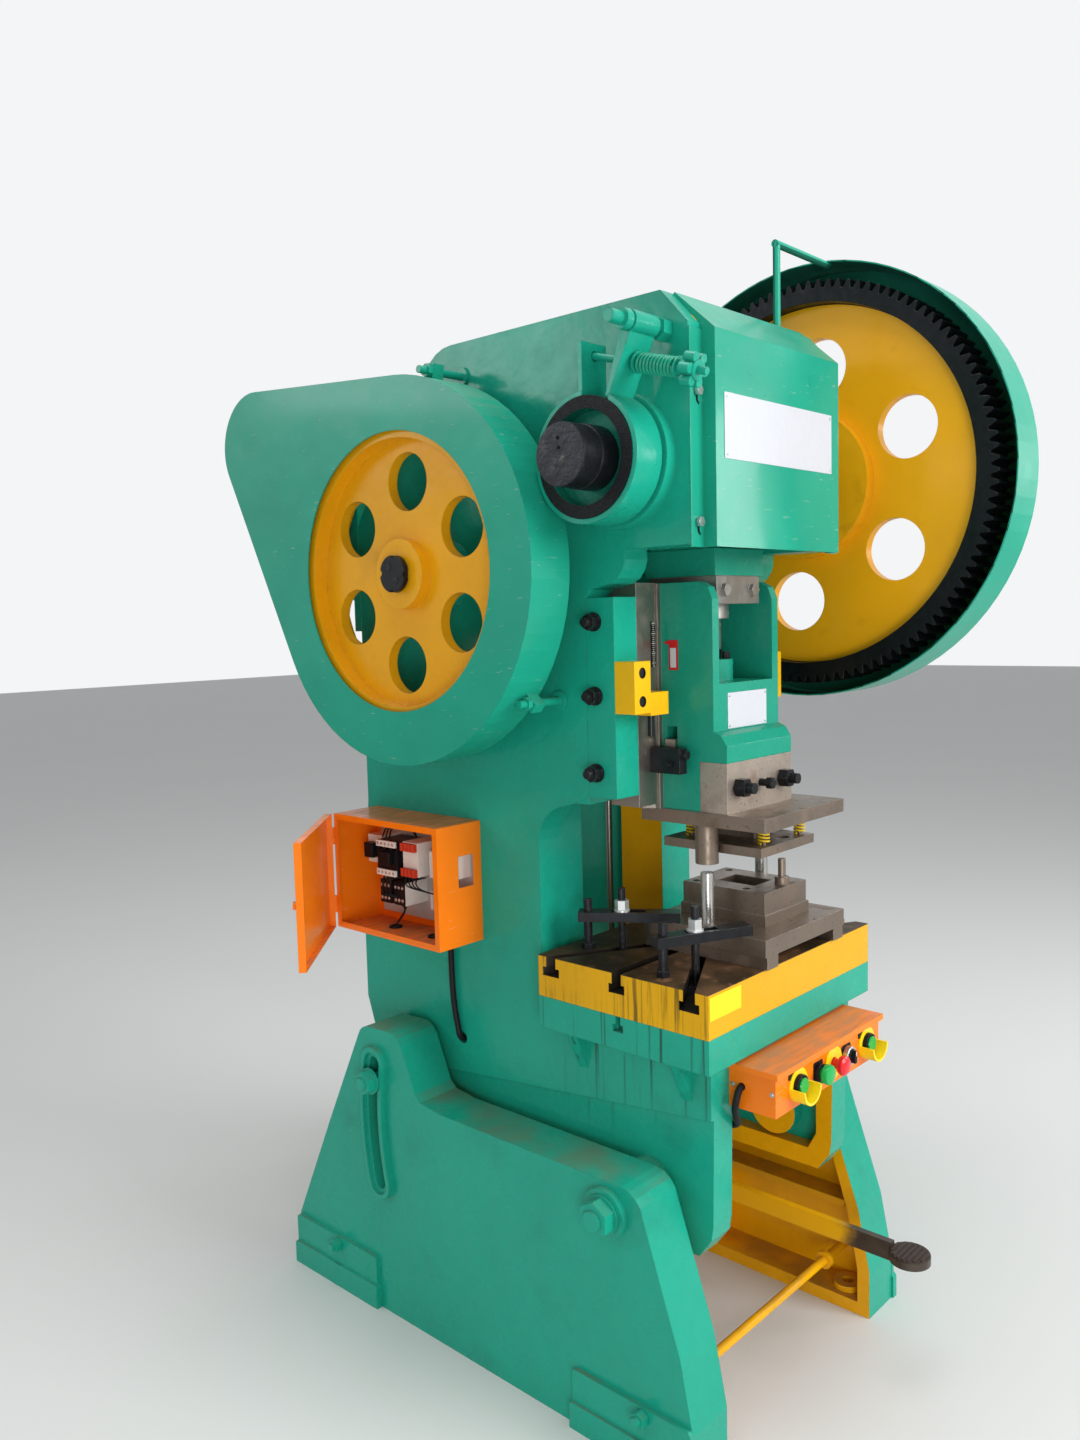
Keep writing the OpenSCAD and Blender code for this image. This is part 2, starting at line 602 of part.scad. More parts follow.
motor_r = 115;
motor_base = motor_z - 132;
module motor() color("#2f6f8f") {
    difference() {
        union() {
            rod_x(-270, 10, motor_y, motor_z, motor_r - 12);
            for (a = [0:15:345]) translate([-255, motor_y, motor_z]) rotate([a, 0, 0])
                box([0, 250], [-2.5, 2.5], [motor_r - 20, motor_r]);
        }
        box([-280, 20], [motor_y - 130, motor_y + 130], [motor_base - 20, motor_base + 18]);
    }
    // Fan cowl, end shield, terminal box, feet and shaft
    rod_x(8, 74, motor_y, motor_z, motor_r - 2);
    rod_x(-288, -268, motor_y, motor_z, motor_r);
    box([-170, -60], [motor_y - 110 - 50, motor_y - 90], [motor_z - 45, motor_z + 55]);
    for (x = [-235, -60]) box([x, x + 44], [motor_y - 108, motor_y + 108], [motor_base, motor_base + 36]);
    rod_x(fly_out - 2, -288, motor_y, motor_z, 19);
}

module motor_plate() color("#12a07c") difference() {
    union() {
        box([-300, 150], [812, 1108], [motor_base - 20, motor_base]);
        box([-wall_x, wall_x], [812, 836], [1600, motor_base]);
        for (x = [-250, 100])
            plate_x(x, x + 16) polygon([[830, 1640], [1080, motor_base - 19], [830, motor_base - 19]]);
    }
    for (x = [-213, -38], y = [motor_y - 95, motor_y + 95])
        box([x - 6, x + 6], [y - 12, y + 12], [motor_base - 21, motor_base + 1]);
}

// Flywheel, its shaft, belts and guard

module flywheel() color("#eaa713") difference() {
    union() {
        difference() {
            rod_x(fly_out, fly_out + flywheel_w, shaft_y, shaft_z, flywheel_r);
            rod_x(fly_out - 1, fly_out + flywheel_w + 1, shaft_y, shaft_z, flywheel_r - 95);
        }
        rod_x(fly_out + 35, fly_out + 60, shaft_y, shaft_z, flywheel_r - 90);
        rod_x(fly_out + 10, fly_out + flywheel_w, shaft_y, shaft_z, 75);
    }
    rod_x(fly_out - 1, fly_out + 200, shaft_y, shaft_z, shaft_r - 6 + run);
    for (i = [0:5])
        rod_x(fly_out, fly_out + 90, shaft_y + 196 * cos(93 + 60 * i),
            shaft_z + 196 * sin(93 + 60 * i), 62);
    // Belt grooves
    for (i = [0:2]) translate([fly_out + 24 + 19 * i, shaft_y, shaft_z]) rotate([0, 90, 0]) rotate_extrude()
        polygon([[flywheel_r + 1, -7], [flywheel_r + 1, 7], [flywheel_r - 12, 4], [flywheel_r - 12, -4]]);
}

module motor_pulley() color("#3a3c3e") difference() {
    rod_x(fly_out + 8, fly_out + 72, motor_y, motor_z, pulley_r);
    rod_x(fly_out - 1, fly_out + 100, motor_y, motor_z, 19 + run);
    for (i = [0:2]) translate([fly_out + 24 + 19 * i, motor_y, motor_z]) rotate([0, 90, 0]) rotate_extrude()
        polygon([[pulley_r + 1, -7], [pulley_r + 1, 7], [pulley_r - 12, 4], [pulley_r - 12, -4]]);
}

module belt_outline(grow)
    polygon(tangent_outline([shaft_y, shaft_z], flywheel_r + grow, [motor_y, motor_z], pulley_r + grow, 48));
module v_belts() color("#191919") for (i = [0:2])
    plate_x(fly_out + 20.5 + 19 * i, fly_out + 27.5 + 19 * i) difference() {
        belt_outline(2);
        belt_outline(-7);
    }

module guard_outline(grow)
    polygon(tangent_outline([shaft_y, shaft_z], flywheel_r + 30 + grow, [motor_y, motor_z], 127 + grow, 48));

guard_lug_angles = [219.6, 99, 300];
guard_lug_r = flywheel_r + 46;
module flywheel_guard() color("#12a07c") {
    difference() {
        plate_x(guard_out, guard_in) guard_outline(0);
        plate_x(guard_out + sheet_t, guard_in + 1) guard_outline(-sheet_t);
        rod_x(guard_out - 1, guard_out + 10, shaft_y - 3, shaft_z + 2, window_r);
    }
    plate_x(guard_in - sheet_t, guard_in) difference() {
        guard_outline(-1);
        guard_outline(-24);
    }
    for (a = guard_lug_angles) difference() {
        translate([guard_in - 40, shaft_y, shaft_z]) rotate([a, 0, 0])
            box([0, 30], [flywheel_r + 30, flywheel_r + 62], [-11, 11]);
        rod_x(guard_in - 60, guard_in + 1, shaft_y + guard_lug_r * cos(a), shaft_z + guard_lug_r * sin(a), 8);
    }
}

module guard_rods() color("#12a07c") for (a = guard_lug_angles) {
    y = shaft_y + guard_lug_r * cos(a);
    z = shaft_z + guard_lug_r * sin(a);
    rod_x(guard_in - 70, -wall_x, y, z, 8);
    hex_x(guard_in - 52, guard_in - 40, y, z, 14);
    rod_x(-wall_x - 6, -wall_x, y, z, 20);
}

// Gear pair with involute teeth

pressure_angle = 20;
function inv(a) = tan(a) * 180 / PI - a;
function tooth_half(n, base, r) = 90 / n - 0.05 * 180 / PI / (n / 2) + inv(pressure_angle)
    - (r > base ? inv(acos(base / r)) : 0);
function gear_points(n, m, turn) =
    let (pitch = m * n / 2, base = pitch * cos(pressure_angle), tip = pitch + m, root = pitch - 1.25 * m,
        rs = [root, max(base, root + 0.35 * m), pitch, tip], half = [for (r = rs) tooth_half(n, base, r)])
    [for (i = [0:n - 1]) let (mid = turn + 360 * i / n) each concat(
        [for (k = [0:3]) rs[k] * [cos(mid - half[k]), sin(mid - half[k])]],
        [for (k = [3:-1:0]) rs[k] * [cos(mid + half[k]), sin(mid + half[k])]])];

module gear() color("#eaa713") difference() {
    union() {
        difference() {
            translate([0, 0, crank_z]) plate_x(gear_x, gear_x + gear_w)
                polygon(gear_points(gear_teeth, gear_module, mesh_angle));
            rod_x(gear_x - 1, gear_x + gear_w + 1, 0, crank_z, gear_pitch_r - 41);
        }
        rod_x(gear_x + 34, gear_x + 60, 0, crank_z, gear_pitch_r - 38);
        rod_x(gear_x, gear_x + gear_w, 0, crank_z, 168);
    }
    for (i = [0:5])
        rod_x(gear_x, gear_x + gear_w, 270 * cos(36 + 60 * i), crank_z + 270 * sin(36 + 60 * i), 70);
    rod_x(gear_x - 1, gear_x + gear_w + 1, 0, crank_z, journal_r + 24 + run);
}

module drive_shaft() color("#6d7073") {
    rod_x(-wall_x - 49, wall_x + 51, shaft_y, shaft_z, shaft_r);
    rod_x(fly_out - 6, -wall_x - 48, shaft_y, shaft_z, shaft_r - 6);
    rod_x(wall_x + 50, gear_x + gear_w + 12, shaft_y, shaft_z, shaft_r - 4);
    translate([0, shaft_y, shaft_z]) plate_x(gear_x - 2, gear_x + gear_w + 2)
        polygon(gear_points(pinion_teeth, gear_module, mesh_angle + 180 + 180 / pinion_teeth));
    for (x = [-wall_x - 62, wall_x + 51]) rod_x(x, x + 11, shaft_y, shaft_z, shaft_r + 10);
}

module hoop_outline(grow)
    polygon(tangent_outline([0, crank_z + 6], hoop_r + grow,
        [shaft_y, shaft_z], pinion_pitch_r + 32 + grow, 64));
hoop_x = gear_x + 8;
module gear_guard() color("#12a07c") {
    plate_x(hoop_x, hoop_x + hoop_w) difference() {
        hoop_outline(0);
        hoop_outline(-sheet_t);
    }
    plate_x(hoop_x + hoop_w - sheet_t, hoop_x + hoop_w) difference() {
        hoop_outline(0);
        hoop_outline(-hoop_flange);
    }
    // Rods that carry the hoop: one bent over the head, two straight out of the wall
    rod_z(frame_top, crank_z + 6 + hoop_r - 10, 200, -60, 8);
    rod_z(frame_top, frame_top + 8, 200, -60, 20);
    rod_x(192, hoop_x + 12, -60, crank_z + 6 + hoop_r - 12, 8);
    for (a = [-62, 22])
        rod_x(wall_x, hoop_x + 14, (hoop_r - 10) * cos(a), crank_z + 6 + (hoop_r - 10) * sin(a), 8);
}

module bearing_bushes() color("#b98a3a") both_sides() {
    difference() {
        rod_x(inner_x - 30, wall_x + 28, 0, crank_z, journal_r + 14);
        rod_x(inner_x - 40, wall_x + 30, 0, crank_z, journal_r + run);
    }
    difference() {
        rod_x(inner_x - 30, wall_x + 50, shaft_y, shaft_z, shaft_r + 14);
        rod_x(inner_x - 40, wall_x + 60, shaft_y, shaft_z, shaft_r + run);
    }
}

// Crankshaft, drawn at the top of the stroke

brake_x = [-wall_x - 113, -wall_x - 33];
module crankshaft() color("#3b3e41") {
    rod_x(-wall_x - 128, -98, 0, crank_z, journal_r);
    rod_x(98, gear_x - 3, 0, crank_z, journal_r);
    rod_x(gear_x - 3, gear_x + gear_w + 6, 0, crank_z, journal_r + 24);
    rod_x(-wall_x - 179, -wall_x - 128, 0, crank_z, journal_r - 2);
    rod_x(-98, 98, 0, crank_z + throw, pin_r);
    both_sides() rod_x(96, 136, 0, crank_z + throw / 2, 104);
    rod_x(gear_x + gear_w + face_gap, gear_x + gear_w + 14, 0, crank_z, 130);
}

module brake_drum() color("#26282a") difference() {
    rod_x(brake_x[0], brake_x[1], 0, crank_z, brake_r);
    rod_x(brake_x[0] - 1, brake_x[0] + 30, 0, crank_z, brake_r - 24);
    rod_x(brake_x[0] - 20, brake_x[1] + 1, 0, crank_z, journal_r);
}

// Brake band with its lining, opened at the top between two lugs
anchor = [-105, crank_z + 228];
brake_tilt = 15;
stud_at = [-wall_x - 70, -84, crank_z + 165];
module stud_line() translate(stud_at) rotate([90 + brake_tilt, 0, 0]) children();
module brake_band() color("#2f7f6c") difference() {
    union() {
        difference() {
            rod_x(brake_x[0] + 3, brake_x[1] - 2, 0, crank_z, brake_r + 10);
            rod_x(brake_x[0] - 1, brake_x[1] + 1, 0, crank_z, brake_r + face_gap);
            box([brake_x[0] - 1, brake_x[1] + 1], [-58, 4], [crank_z + 40, crank_z + 200]);
        }
        plate_x(brake_x[0] + 5, brake_x[1] - 4) polygon([[4, crank_z + brake_r + 2], [4, crank_z + 212],
            [14, crank_z + 212], [14, crank_z + brake_r + 1]]);
        plate_x(brake_x[0] + 5, brake_x[1] - 4) polygon([[-58, crank_z + brake_r - 10],
            anchor + [-10, -8], anchor + [10, 8], [-50, crank_z + brake_r - 6]]);
        rod_x(brake_x[0] + 5, brake_x[1] - 4, anchor[0], anchor[1], 20);
    }
    rod_x(brake_x[0], brake_x[1], anchor[0], anchor[1], 12 + run);
    stud_line() rod_z(-130, 60, 0, 0, 9);
}

// Anchor pin in the wall, and the stud that draws the band together
module brake_pins() color("#15916f") {
    rod_x(-wall_x - 163, -wall_x, anchor[0], anchor[1], 12);
    hex_x(-wall_x - 26, -wall_x, anchor[0], anchor[1], 22);
    rod_x(-wall_x - 130, -wall_x - 112, anchor[0], anchor[1], 19);
    stud_line() {
        rod_z(-122, 168, 0, 0, 7);
        hex_z(-118, -105.8, 0, 0, 14);
        rod_z(12, 16, 0, 0, 20);
        rod_z(106, 110, 0, 0, 20);
        hex_z(110, 122, 0, 0, 15);
    }
}

module brake_spring() color("#1a9474") stud_line() translate([0, 0, 16]) rotate_extrude() polygon(concat(
    [for (i = [0:35]) [15 + 4 * sin(i * 80), 90 * i / 35]], [[9, 90], [9, 0]]));

module star_knob() color("#15916f") stud_line() difference() {
    union() {
        rod_z(124, 150, 0, 0, 18);
        for (i = [0:5]) rotate([0, 0, 60 * i]) rod_z(126, 148, 23, 0, 9);
    }
    rod_z(120, 170, 0, 0, 7 + run);
}

// Connecting rod, with room in its big end for the crankpin's sideways travel
big_z = crank_z + throw;
big_room = 11;
module conrod() color("#6f7274") difference() {
    union() {
        plate_x(-88, 88) {
            translate([0, big_z]) circle(r = pin_r + 41);
            translate([throw, big_z]) circle(r = pin_r + 41);
            translate([0, big_z - pin_r - 41]) square([throw, 2 * pin_r + 82]);
            polygon([[-66, 1700], [66, 1700], [96, big_z - 60], [-84, big_z - 60]]);
        }
        box([-90, 90], [-88, 88], [1697, 1752]);
        box([-79, 79], [-84, 84], [1640, 1697]);
        rod_z(1610, 1641, 0, 0, 50);
        for (x = [-52, 52]) hex_y(-94, -84, x, 1668, 14);
    }
    plate_x(-100, 100) {
        translate([0, big_z]) circle(r = pin_r + big_room);
        translate([throw, big_z]) circle(r = pin_r + big_room);
        translate([0, big_z - pin_r - big_room]) square([throw, 2 * pin_r + 2 * big_room]);
    }
    rod_z(1600, 1782, 0, 0, screw_r + run);
    for (a = [0, 90]) translate([0, 0, 1622]) rotate([90, 0, a + 30]) cylinder(h = 140, r = 5, center = true);
}

ball_z = 1458;
ball_r = 42;
module adjusting_screw() color("#8a8d8f") {
    rod_z(1546, 1725, 0, 0, screw_r);
    rod_z(ball_z, 1547, 0, 0, 26);
    translate([0, 0, ball_z]) sphere(r = ball_r);
}

// Ram, with its pocket for the connecting rod and the ball of the screw
cheek_top = 1685;
pocket_floor = 1480;
cap_z = [ram_bottom, ram_bottom + 103];
module ram() color("#14a586") difference() {
    union() {
        plate_x(-ram_half, ram_half) polygon([[ram_front, cap_z[1]], [ram_front, cap_z[1] + 34],
            [-120, cap_z[1] + 54], [-102, cap_z[1] + 62], [-102, 1650], [-92, 1674], [-70, cheek_top],
            [guide_front - 4, cheek_top], [guide_front - 4, ram_bottom], [shank_y + face_gap, ram_bottom],
            [shank_y + face_gap, cap_z[1]]]);
        translate([0, 0, ram_bottom]) linear_extrude(cheek_top - ram_bottom)
            polygon(concat(rail_plan(0), [for (i = [6:-1:0]) [-rail_plan(0)[i][0], rail_plan(0)[i][1]]]));
        difference() {
            rod_z(pocket_floor, 1525, 0, 0, 58);
            box([-60, 60], [guide_front - 2, 60], [1400, 1600]);
        }
    }
    difference() {
        box([-100, 100], [-140, 140], [pocket_floor, cheek_top + 1]);
        rod_z(pocket_floor - 1, 1525, 0, 0, 58);
    }
    rod_z(ball_z - ball_r - face_gap, 1492, 0, 0, ball_r + face_gap);
    rod_z(1490, 1530, 0, 0, 32);
    rod_z(ram_bottom - 1, cap_z[1] - 30, 0, shank_y, shank_r + run);
    box([-ram_half - 40, ram_half + 40], [-13, 13], [ram_bottom + 116, ram_bottom + 172]);
}

module shank_clamp() color("#9a938a") difference() {
    box([-ram_half, ram_half], [ram_front, shank_y - face_gap], [ram_bottom, cap_z[1] - face_gap]);
    rod_z(ram_bottom - 1, cap_z[1] - 30, 0, shank_y, shank_r + run);
    for (x = [-84, 84]) rod_y(ram_front - 1, shank_y + 1, x, ram_bottom + 52, 11 + run);
    rod_y(ram_front - 1, shank_y + 1, 0, ram_bottom + 52, 8);
}

module ram_bolts() color("#1f2224") {
    for (x = [-84, 84]) {
        rod_y(ram_front - 40, shank_y + face_gap, x, ram_bottom + 52, 11);
        hex_y(ram_front - 22, ram_front, x, ram_bottom + 52, 20);
    }
    rod_y(ram_front - 32, shank_y - shank_r - 1, 0, ram_bottom + 52, 8);
    hex_y(ram_front - 30, ram_front - 18, 0, ram_bottom + 52, 13);
    for (a = [45:90:315]) hex_z(1525, 1540, 45 * cos(a), 45 * sin(a), 8);
}

module knockout_bar() color("#6a6c6e")
    box([-ram_half - 8, ram_half + 8], [-12, 12], [ram_bottom + 116, ram_bottom + 146]);

// Die set, open because the ram is up

shoe_x = [-126, 190];
shoe_y = [-220, 80];
parallel_z = bolster_z + 26;
shoe_top = parallel_z + lower_shoe_t;
upper_z = ram_bottom - upper_shoe_t;
post_at = [[-93, -62], [150, -40]];
bush_z = upper_z - 82;
die_x = [-45, 128];
die_y = [-170, 40];
die_top = upper_z - stroke - 63;
strip_x = [die_x[0] - 30, die_x[1] + 6];
strip_y = [-180, 60];
strip_z = die_top + stroke + 1;
strip_t = 19;
strip_top = strip_z + strip_t;
punch_x = [10, 76];
punch_y = [-110, -20];
spring_at = [for (x = [-30, 112], y = [-158, 20]) [x, y]];

module lower_shoe() color("#97928a") {
    difference() {
        box(shoe_x, shoe_y, [parallel_z, shoe_top]);
        for (p = post_at) rod_z(parallel_z - 1, shoe_top + 1, p[0], p[1], post_r);
        box([punch_x[0] - 6, punch_x[1] + 6], [punch_y[0] - 6, punch_y[1] + 6],
            [parallel_z - 1, shoe_top + 1]);
    }
    for (x = [shoe_x[0] + 6, shoe_x[1] - 46]) box([x, x + 40], shoe_y, [bolster_z, parallel_z]);
}

module lower_die() color("#837e76") difference() {
    union() {
        box(die_x, die_y, [shoe_top, shoe_top + 24]);
        box([die_x[0] + 4, die_x[1] - 4], [die_y[0] + 4, die_y[1] - 4], [shoe_top + 23, die_top]);
        rod_z(die_top - 1, die_top + 16, 60, die_y[0] + 24, 15);
        rod_z(die_top - 1, die_top + 54, 60, die_y[0] + 24, 8);
    }
    box([punch_x[0] - 1, punch_x[1] + 1], [punch_y[0] - 1, punch_y[1] + 1], [shoe_top - 1, die_top + 1]);
    for (x = [die_x[0] + 24, die_x[1] - 24], y = [die_y[0] + 60, die_y[1] - 24])
        rod_z(die_top - 12, die_top + 1, x, y, 9);
}

// At the top of the stroke the bushes are just clear of the posts
module guide_posts() color("#b4b6b8")
    for (p = post_at) rod_z(parallel_z, bush_z - 20, p[0], p[1], post_r);

module upper_shoe() color("#8d887f") difference() {
    union() {
        box(shoe_x, shoe_y, [upper_z, ram_bottom]);
        rod_z(ram_bottom - 1, cap_z[1] - 32, 0, shank_y, shank_r);
        for (p = post_at) rod_z(bush_z, upper_z + 1, p[0], p[1], post_r + 10);
    }
    for (p = post_at) rod_z(bush_z - 1, ram_bottom - 1, p[0], p[1], post_r + run);
}

module punch_plate() color("#7f7a72") {
    box([punch_x[0] - 24, punch_x[1] + 24], [punch_y[0] - 24, punch_y[1] + 24], [upper_z - 16, upper_z]);
    box([punch_x[0] + 1, punch_x[1] - 1], [punch_y[0] + 1, punch_y[1] - 1], [strip_z + 2, upper_z - 15]);
    for (p = spring_at) {
        rod_z(strip_z + 8, upper_z, p[0], p[1], 5);
        rod_z(strip_z + 2, strip_z + 8, p[0], p[1], 8);
    }
}

module stripper() color("#8e8980") difference() {
    box(strip_x, strip_y, [strip_z, strip_top]);
    box(punch_x, punch_y, [strip_z - 1, strip_top + 1]);
    for (p = spring_at) {
        rod_z(strip_z - 1, strip_top + 1, p[0], p[1], 5.5);
        rod_z(strip_z - 1, strip_z + 8, p[0], p[1], 8.5);
    }
    for (p = post_at) rod_z(strip_z - 1, strip_top + 1, p[0], p[1], post_r + 12);
    rod_z(strip_z - 1, strip_top + 1, 60, die_y[0] + 24, 17);
}

module stripper_springs() color("#e6c229") for (p = spring_at) translate([p[0], p[1], strip_top])
    rotate_extrude() polygon(concat(
        [for (i = [0:24]) [11.5 + 1.5 * sin(i * 90), (upper_z - strip_top) * i / 24]],
        [[6.5, upper_z - strip_top], [6.5, 0]]));

// Clamps of the lower shoe: strap, T-bolt with nut, and heel screw
// Each clamp: its bolt's distance from the bolster's left end, its slot's turn and its strap's turn
clamps = [[142, -slot_turn, -55], [108, slot_turn, -25]];
heel_x = -72;
strap_z = [shoe_top, shoe_top + 20];
module at_clamps(turn) for (c = clamps) let (x = c[0] - bolster_w / 2)
    translate([x, slot_mid + x * tan(c[1]), 0]) rotate([0, 0, c[turn]]) children();
module strap_clamps() color("#2a2b2c") at_clamps(2) difference() {
    box([heel_x - 20, 122], [-19, 19], strap_z);
    box([-22, 50], [-9.5, 9.5], [strap_z[0] - 1, strap_z[1] + 1]);
    rod_z(strap_z[0] - 1, strap_z[1] + 1, heel_x, 0, 9);
}
module clamp_bolts() color("#1d1e1f") {
    at_clamps(1) box([-18, 18], [1 - slot_head / 2, slot_head / 2 - 1],
        [bolster_z - slot_depth, bolster_z - slot_depth + 15]);
    at_clamps(2) {
        rod_z(bolster_z - slot_depth + 14, strap_z[1] + 50, 0, 0, 8);
        rod_z(strap_z[1], strap_z[1] + 4, 0, 0, 17);
        hex_z(strap_z[1] + 4, strap_z[1] + 24, 0, 0, 15);
        rod_z(bolster_z, strap_z[1] + 26, heel_x, 0, 9);
        hex_z(bolster_z, bolster_z + 12, heel_x, 0, 15);
    }
}

// Pedal and the rod that it lifts

pedal_x = 150;
pedal_pin = [200, 274];
module pedal() color("#dfa91a") {
    difference() {
        union() {
            box([pedal_x - 8, pedal_x + 8], [-352, 470], [pedal_pin[1] - 20, pedal_pin[1] + 20]);
            rod_x(pedal_x - 13.7, pedal_x + 14.7, pedal_pin[0], pedal_pin[1], 26);
        }
        rod_x(100, 220, pedal_pin[0], pedal_pin[1], 12 + run);
    }
    box([pedal_x + 7, 232], [436, 468], [pedal_pin[1] - 20, pedal_pin[1] + 20]);
    // Round tread
    rod_z(pedal_pin[1] - 8, pedal_pin[1] + 8, pedal_x, -390, 42);
}

module trip_rod() color("#5d6063") {
    rod_z(pedal_pin[1] + 20 + face_gap, pedal_pin[1] + 40, trip_at[0], trip_at[1], 4);
    rod_z(pedal_pin[1] + 40, 1600, trip_at[0], trip_at[1], 8);
    rod_z(1456, 1462, trip_at[0], trip_at[1], 15);
}

// Cable from the cabinet's terminals through the left wall, and forward behind it to the push-button box
cable_wall = [500, 658];
cable_out = -wall_x - 9.5;
cable_in = 11 - rim_x;
cable_points = [[-wall_x - 28, 506, cabinet_z + 60], [-wall_x - 28, 506, cabinet_z + 48],
    [-wall_x - 24, 511, cabinet_z + 32], [-wall_x - 15, 517, cabinet_z + 17],
    [cable_out, 520, cabinet_z + 5], [cable_out, 520, cabinet_z - 9], [cable_out, 520, 860],
    [cable_out, 519, 800], [cable_out, 516, 750], [cable_out, 510, 712], [cable_out, 504, 688],
    [cable_out, 501, 673], [-wall_x - 6, cable_wall[0], 663.5], [-wall_x, cable_wall[0], 659.5],
    [-wall_x + 10, cable_wall[0], cable_wall[1]], [4 - inner_x, cable_wall[0], cable_wall[1]],
    [20 - inner_x, 496, 655], [33 - inner_x, 484, 648], [cable_in - 2, 462, 638],
    [cable_in, 430, 630], [cable_in, 365, 622], [cable_in, 240, 616], [cable_in, 100, 612],
    [cable_in, -60, 611], [cable_in, -150, 614], [cable_in - 1, -184, 621], [cable_in - 5, -196, 630],
    [-205, -201, 642], [-221, -207, 664], [-228, -213, 682], [-227, box_entry[0], 698],
    [-220, box_entry[0], 709], [-box_w / 2 - 1.5, box_entry[0], box_entry[1]],
    [-box_w / 2 + 12, box_entry[0], box_entry[1]]];
cable_r = 7;
function unit(v) = v / norm(v);
function ring(p, t, r, n) = let (u = unit(cross(t, [1, 1, 0])), v = cross(t, u))
    [for (k = [0:n - 1]) p + r * (u * cos(360 * k / n) + v * sin(360 * k / n))];
function direction(p, i) = unit(p[min(i + 1, len(p) - 1)] - p[max(i - 1, 0)]);
module sweep(p, r, n) polyhedron(
    points = [for (i = [0:len(p) - 1]) each ring(p[i], direction(p, i), r, n)],
    faces = concat([[for (k = [0:n - 1]) k]],
        [for (i = [0:len(p) - 2], k = [0:n - 1])
            [i * n + k, (i + 1) * n + k, (i + 1) * n + (k + 1) % n, i * n + (k + 1) % n]],
        [[for (k = [n - 1:-1:0]) (len(p) - 1) * n + k]]));
module control_cable() color("#1a1a1a") sweep(cable_points, cable_r, 8);

left_leg();
right_leg();
tie_rods();
frame();
tilt_studs();
slot_bolts();
gib_blocks();
gib_strips();
gib_bolts();
stop_brackets();
limit_brackets();
bolster();
head_cover();
cover_screws();
control_box();
control_lid();
button_guards();
cabinet();
cabinet_fittings();
motor();
motor_plate();
flywheel_guard();
guard_rods();
gear_guard();
bearing_bushes();
brake_band();
brake_pins();
brake_spring();
v_belts();
lower_shoe();
lower_die();
guide_posts();
strap_clamps();
clamp_bolts();
gear();
drive_shaft();
flywheel();
motor_pulley();
crankshaft();
brake_drum();
conrod();
adjusting_screw();
ram();
shank_clamp();
ram_bolts();
knockout_bar();
upper_shoe();
punch_plate();
stripper();
stripper_springs();
pedal();
trip_rod();
star_knob();
cabinet_door();
left_button();
start_button();
stop_button();
selector();
right_button();
control_cable();
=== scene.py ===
import json
import math
from functools import partialmethod

import bmesh
import bpy
from bpy.props import FloatProperty, FloatVectorProperty, PointerProperty, StringProperty
from mathutils import Matrix, Vector


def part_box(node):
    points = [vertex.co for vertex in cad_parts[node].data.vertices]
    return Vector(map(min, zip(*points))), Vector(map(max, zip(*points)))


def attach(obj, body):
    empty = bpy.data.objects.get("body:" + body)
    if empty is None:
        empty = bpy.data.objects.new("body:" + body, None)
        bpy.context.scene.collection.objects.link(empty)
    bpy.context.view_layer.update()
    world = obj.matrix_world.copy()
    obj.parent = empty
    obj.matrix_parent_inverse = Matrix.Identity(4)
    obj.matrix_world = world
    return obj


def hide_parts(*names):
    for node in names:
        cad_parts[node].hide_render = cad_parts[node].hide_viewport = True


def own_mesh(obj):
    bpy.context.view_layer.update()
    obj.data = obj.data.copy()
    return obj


bl_info = {
    "name": "Eccentric press dressing",
    "version": (1, 0, 0),
    "blender": (4, 5, 0),
    "location": "View3D > Sidebar > Press",
    "description": "Finishes, small parts, camera and lamps for an open-back inclinable eccentric press",
    "category": "Object",
}

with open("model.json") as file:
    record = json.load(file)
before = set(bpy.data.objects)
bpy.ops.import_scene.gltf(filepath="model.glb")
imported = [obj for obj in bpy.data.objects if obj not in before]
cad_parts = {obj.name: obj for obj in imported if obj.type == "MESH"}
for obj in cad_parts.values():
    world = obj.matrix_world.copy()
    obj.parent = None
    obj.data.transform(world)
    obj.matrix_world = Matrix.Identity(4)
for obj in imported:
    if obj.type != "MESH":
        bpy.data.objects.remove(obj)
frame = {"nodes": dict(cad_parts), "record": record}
NODES = frame["nodes"]
BODY_OF = {node: body for body, nodes in frame["record"]["behaviour"]["bodies"].items() for node in nodes}
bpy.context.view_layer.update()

# Height of the crankshaft's axis, and the finishes' share of plain mirroring
CRANK_Z = 1.914
SPECULAR_LEVEL = 0.17

# Directions in the frame
RIGHT = (1, 0, 0)
LEFT = (-1, 0, 0)
REAR = (0, 1, 0)
FRONT = (0, -1, 0)
UP = (0, 0, 1)


def settings(kind):
    """The property group of that name on the scene."""
    return getattr(bpy.context.scene, "press_" + kind)


# Node graphs


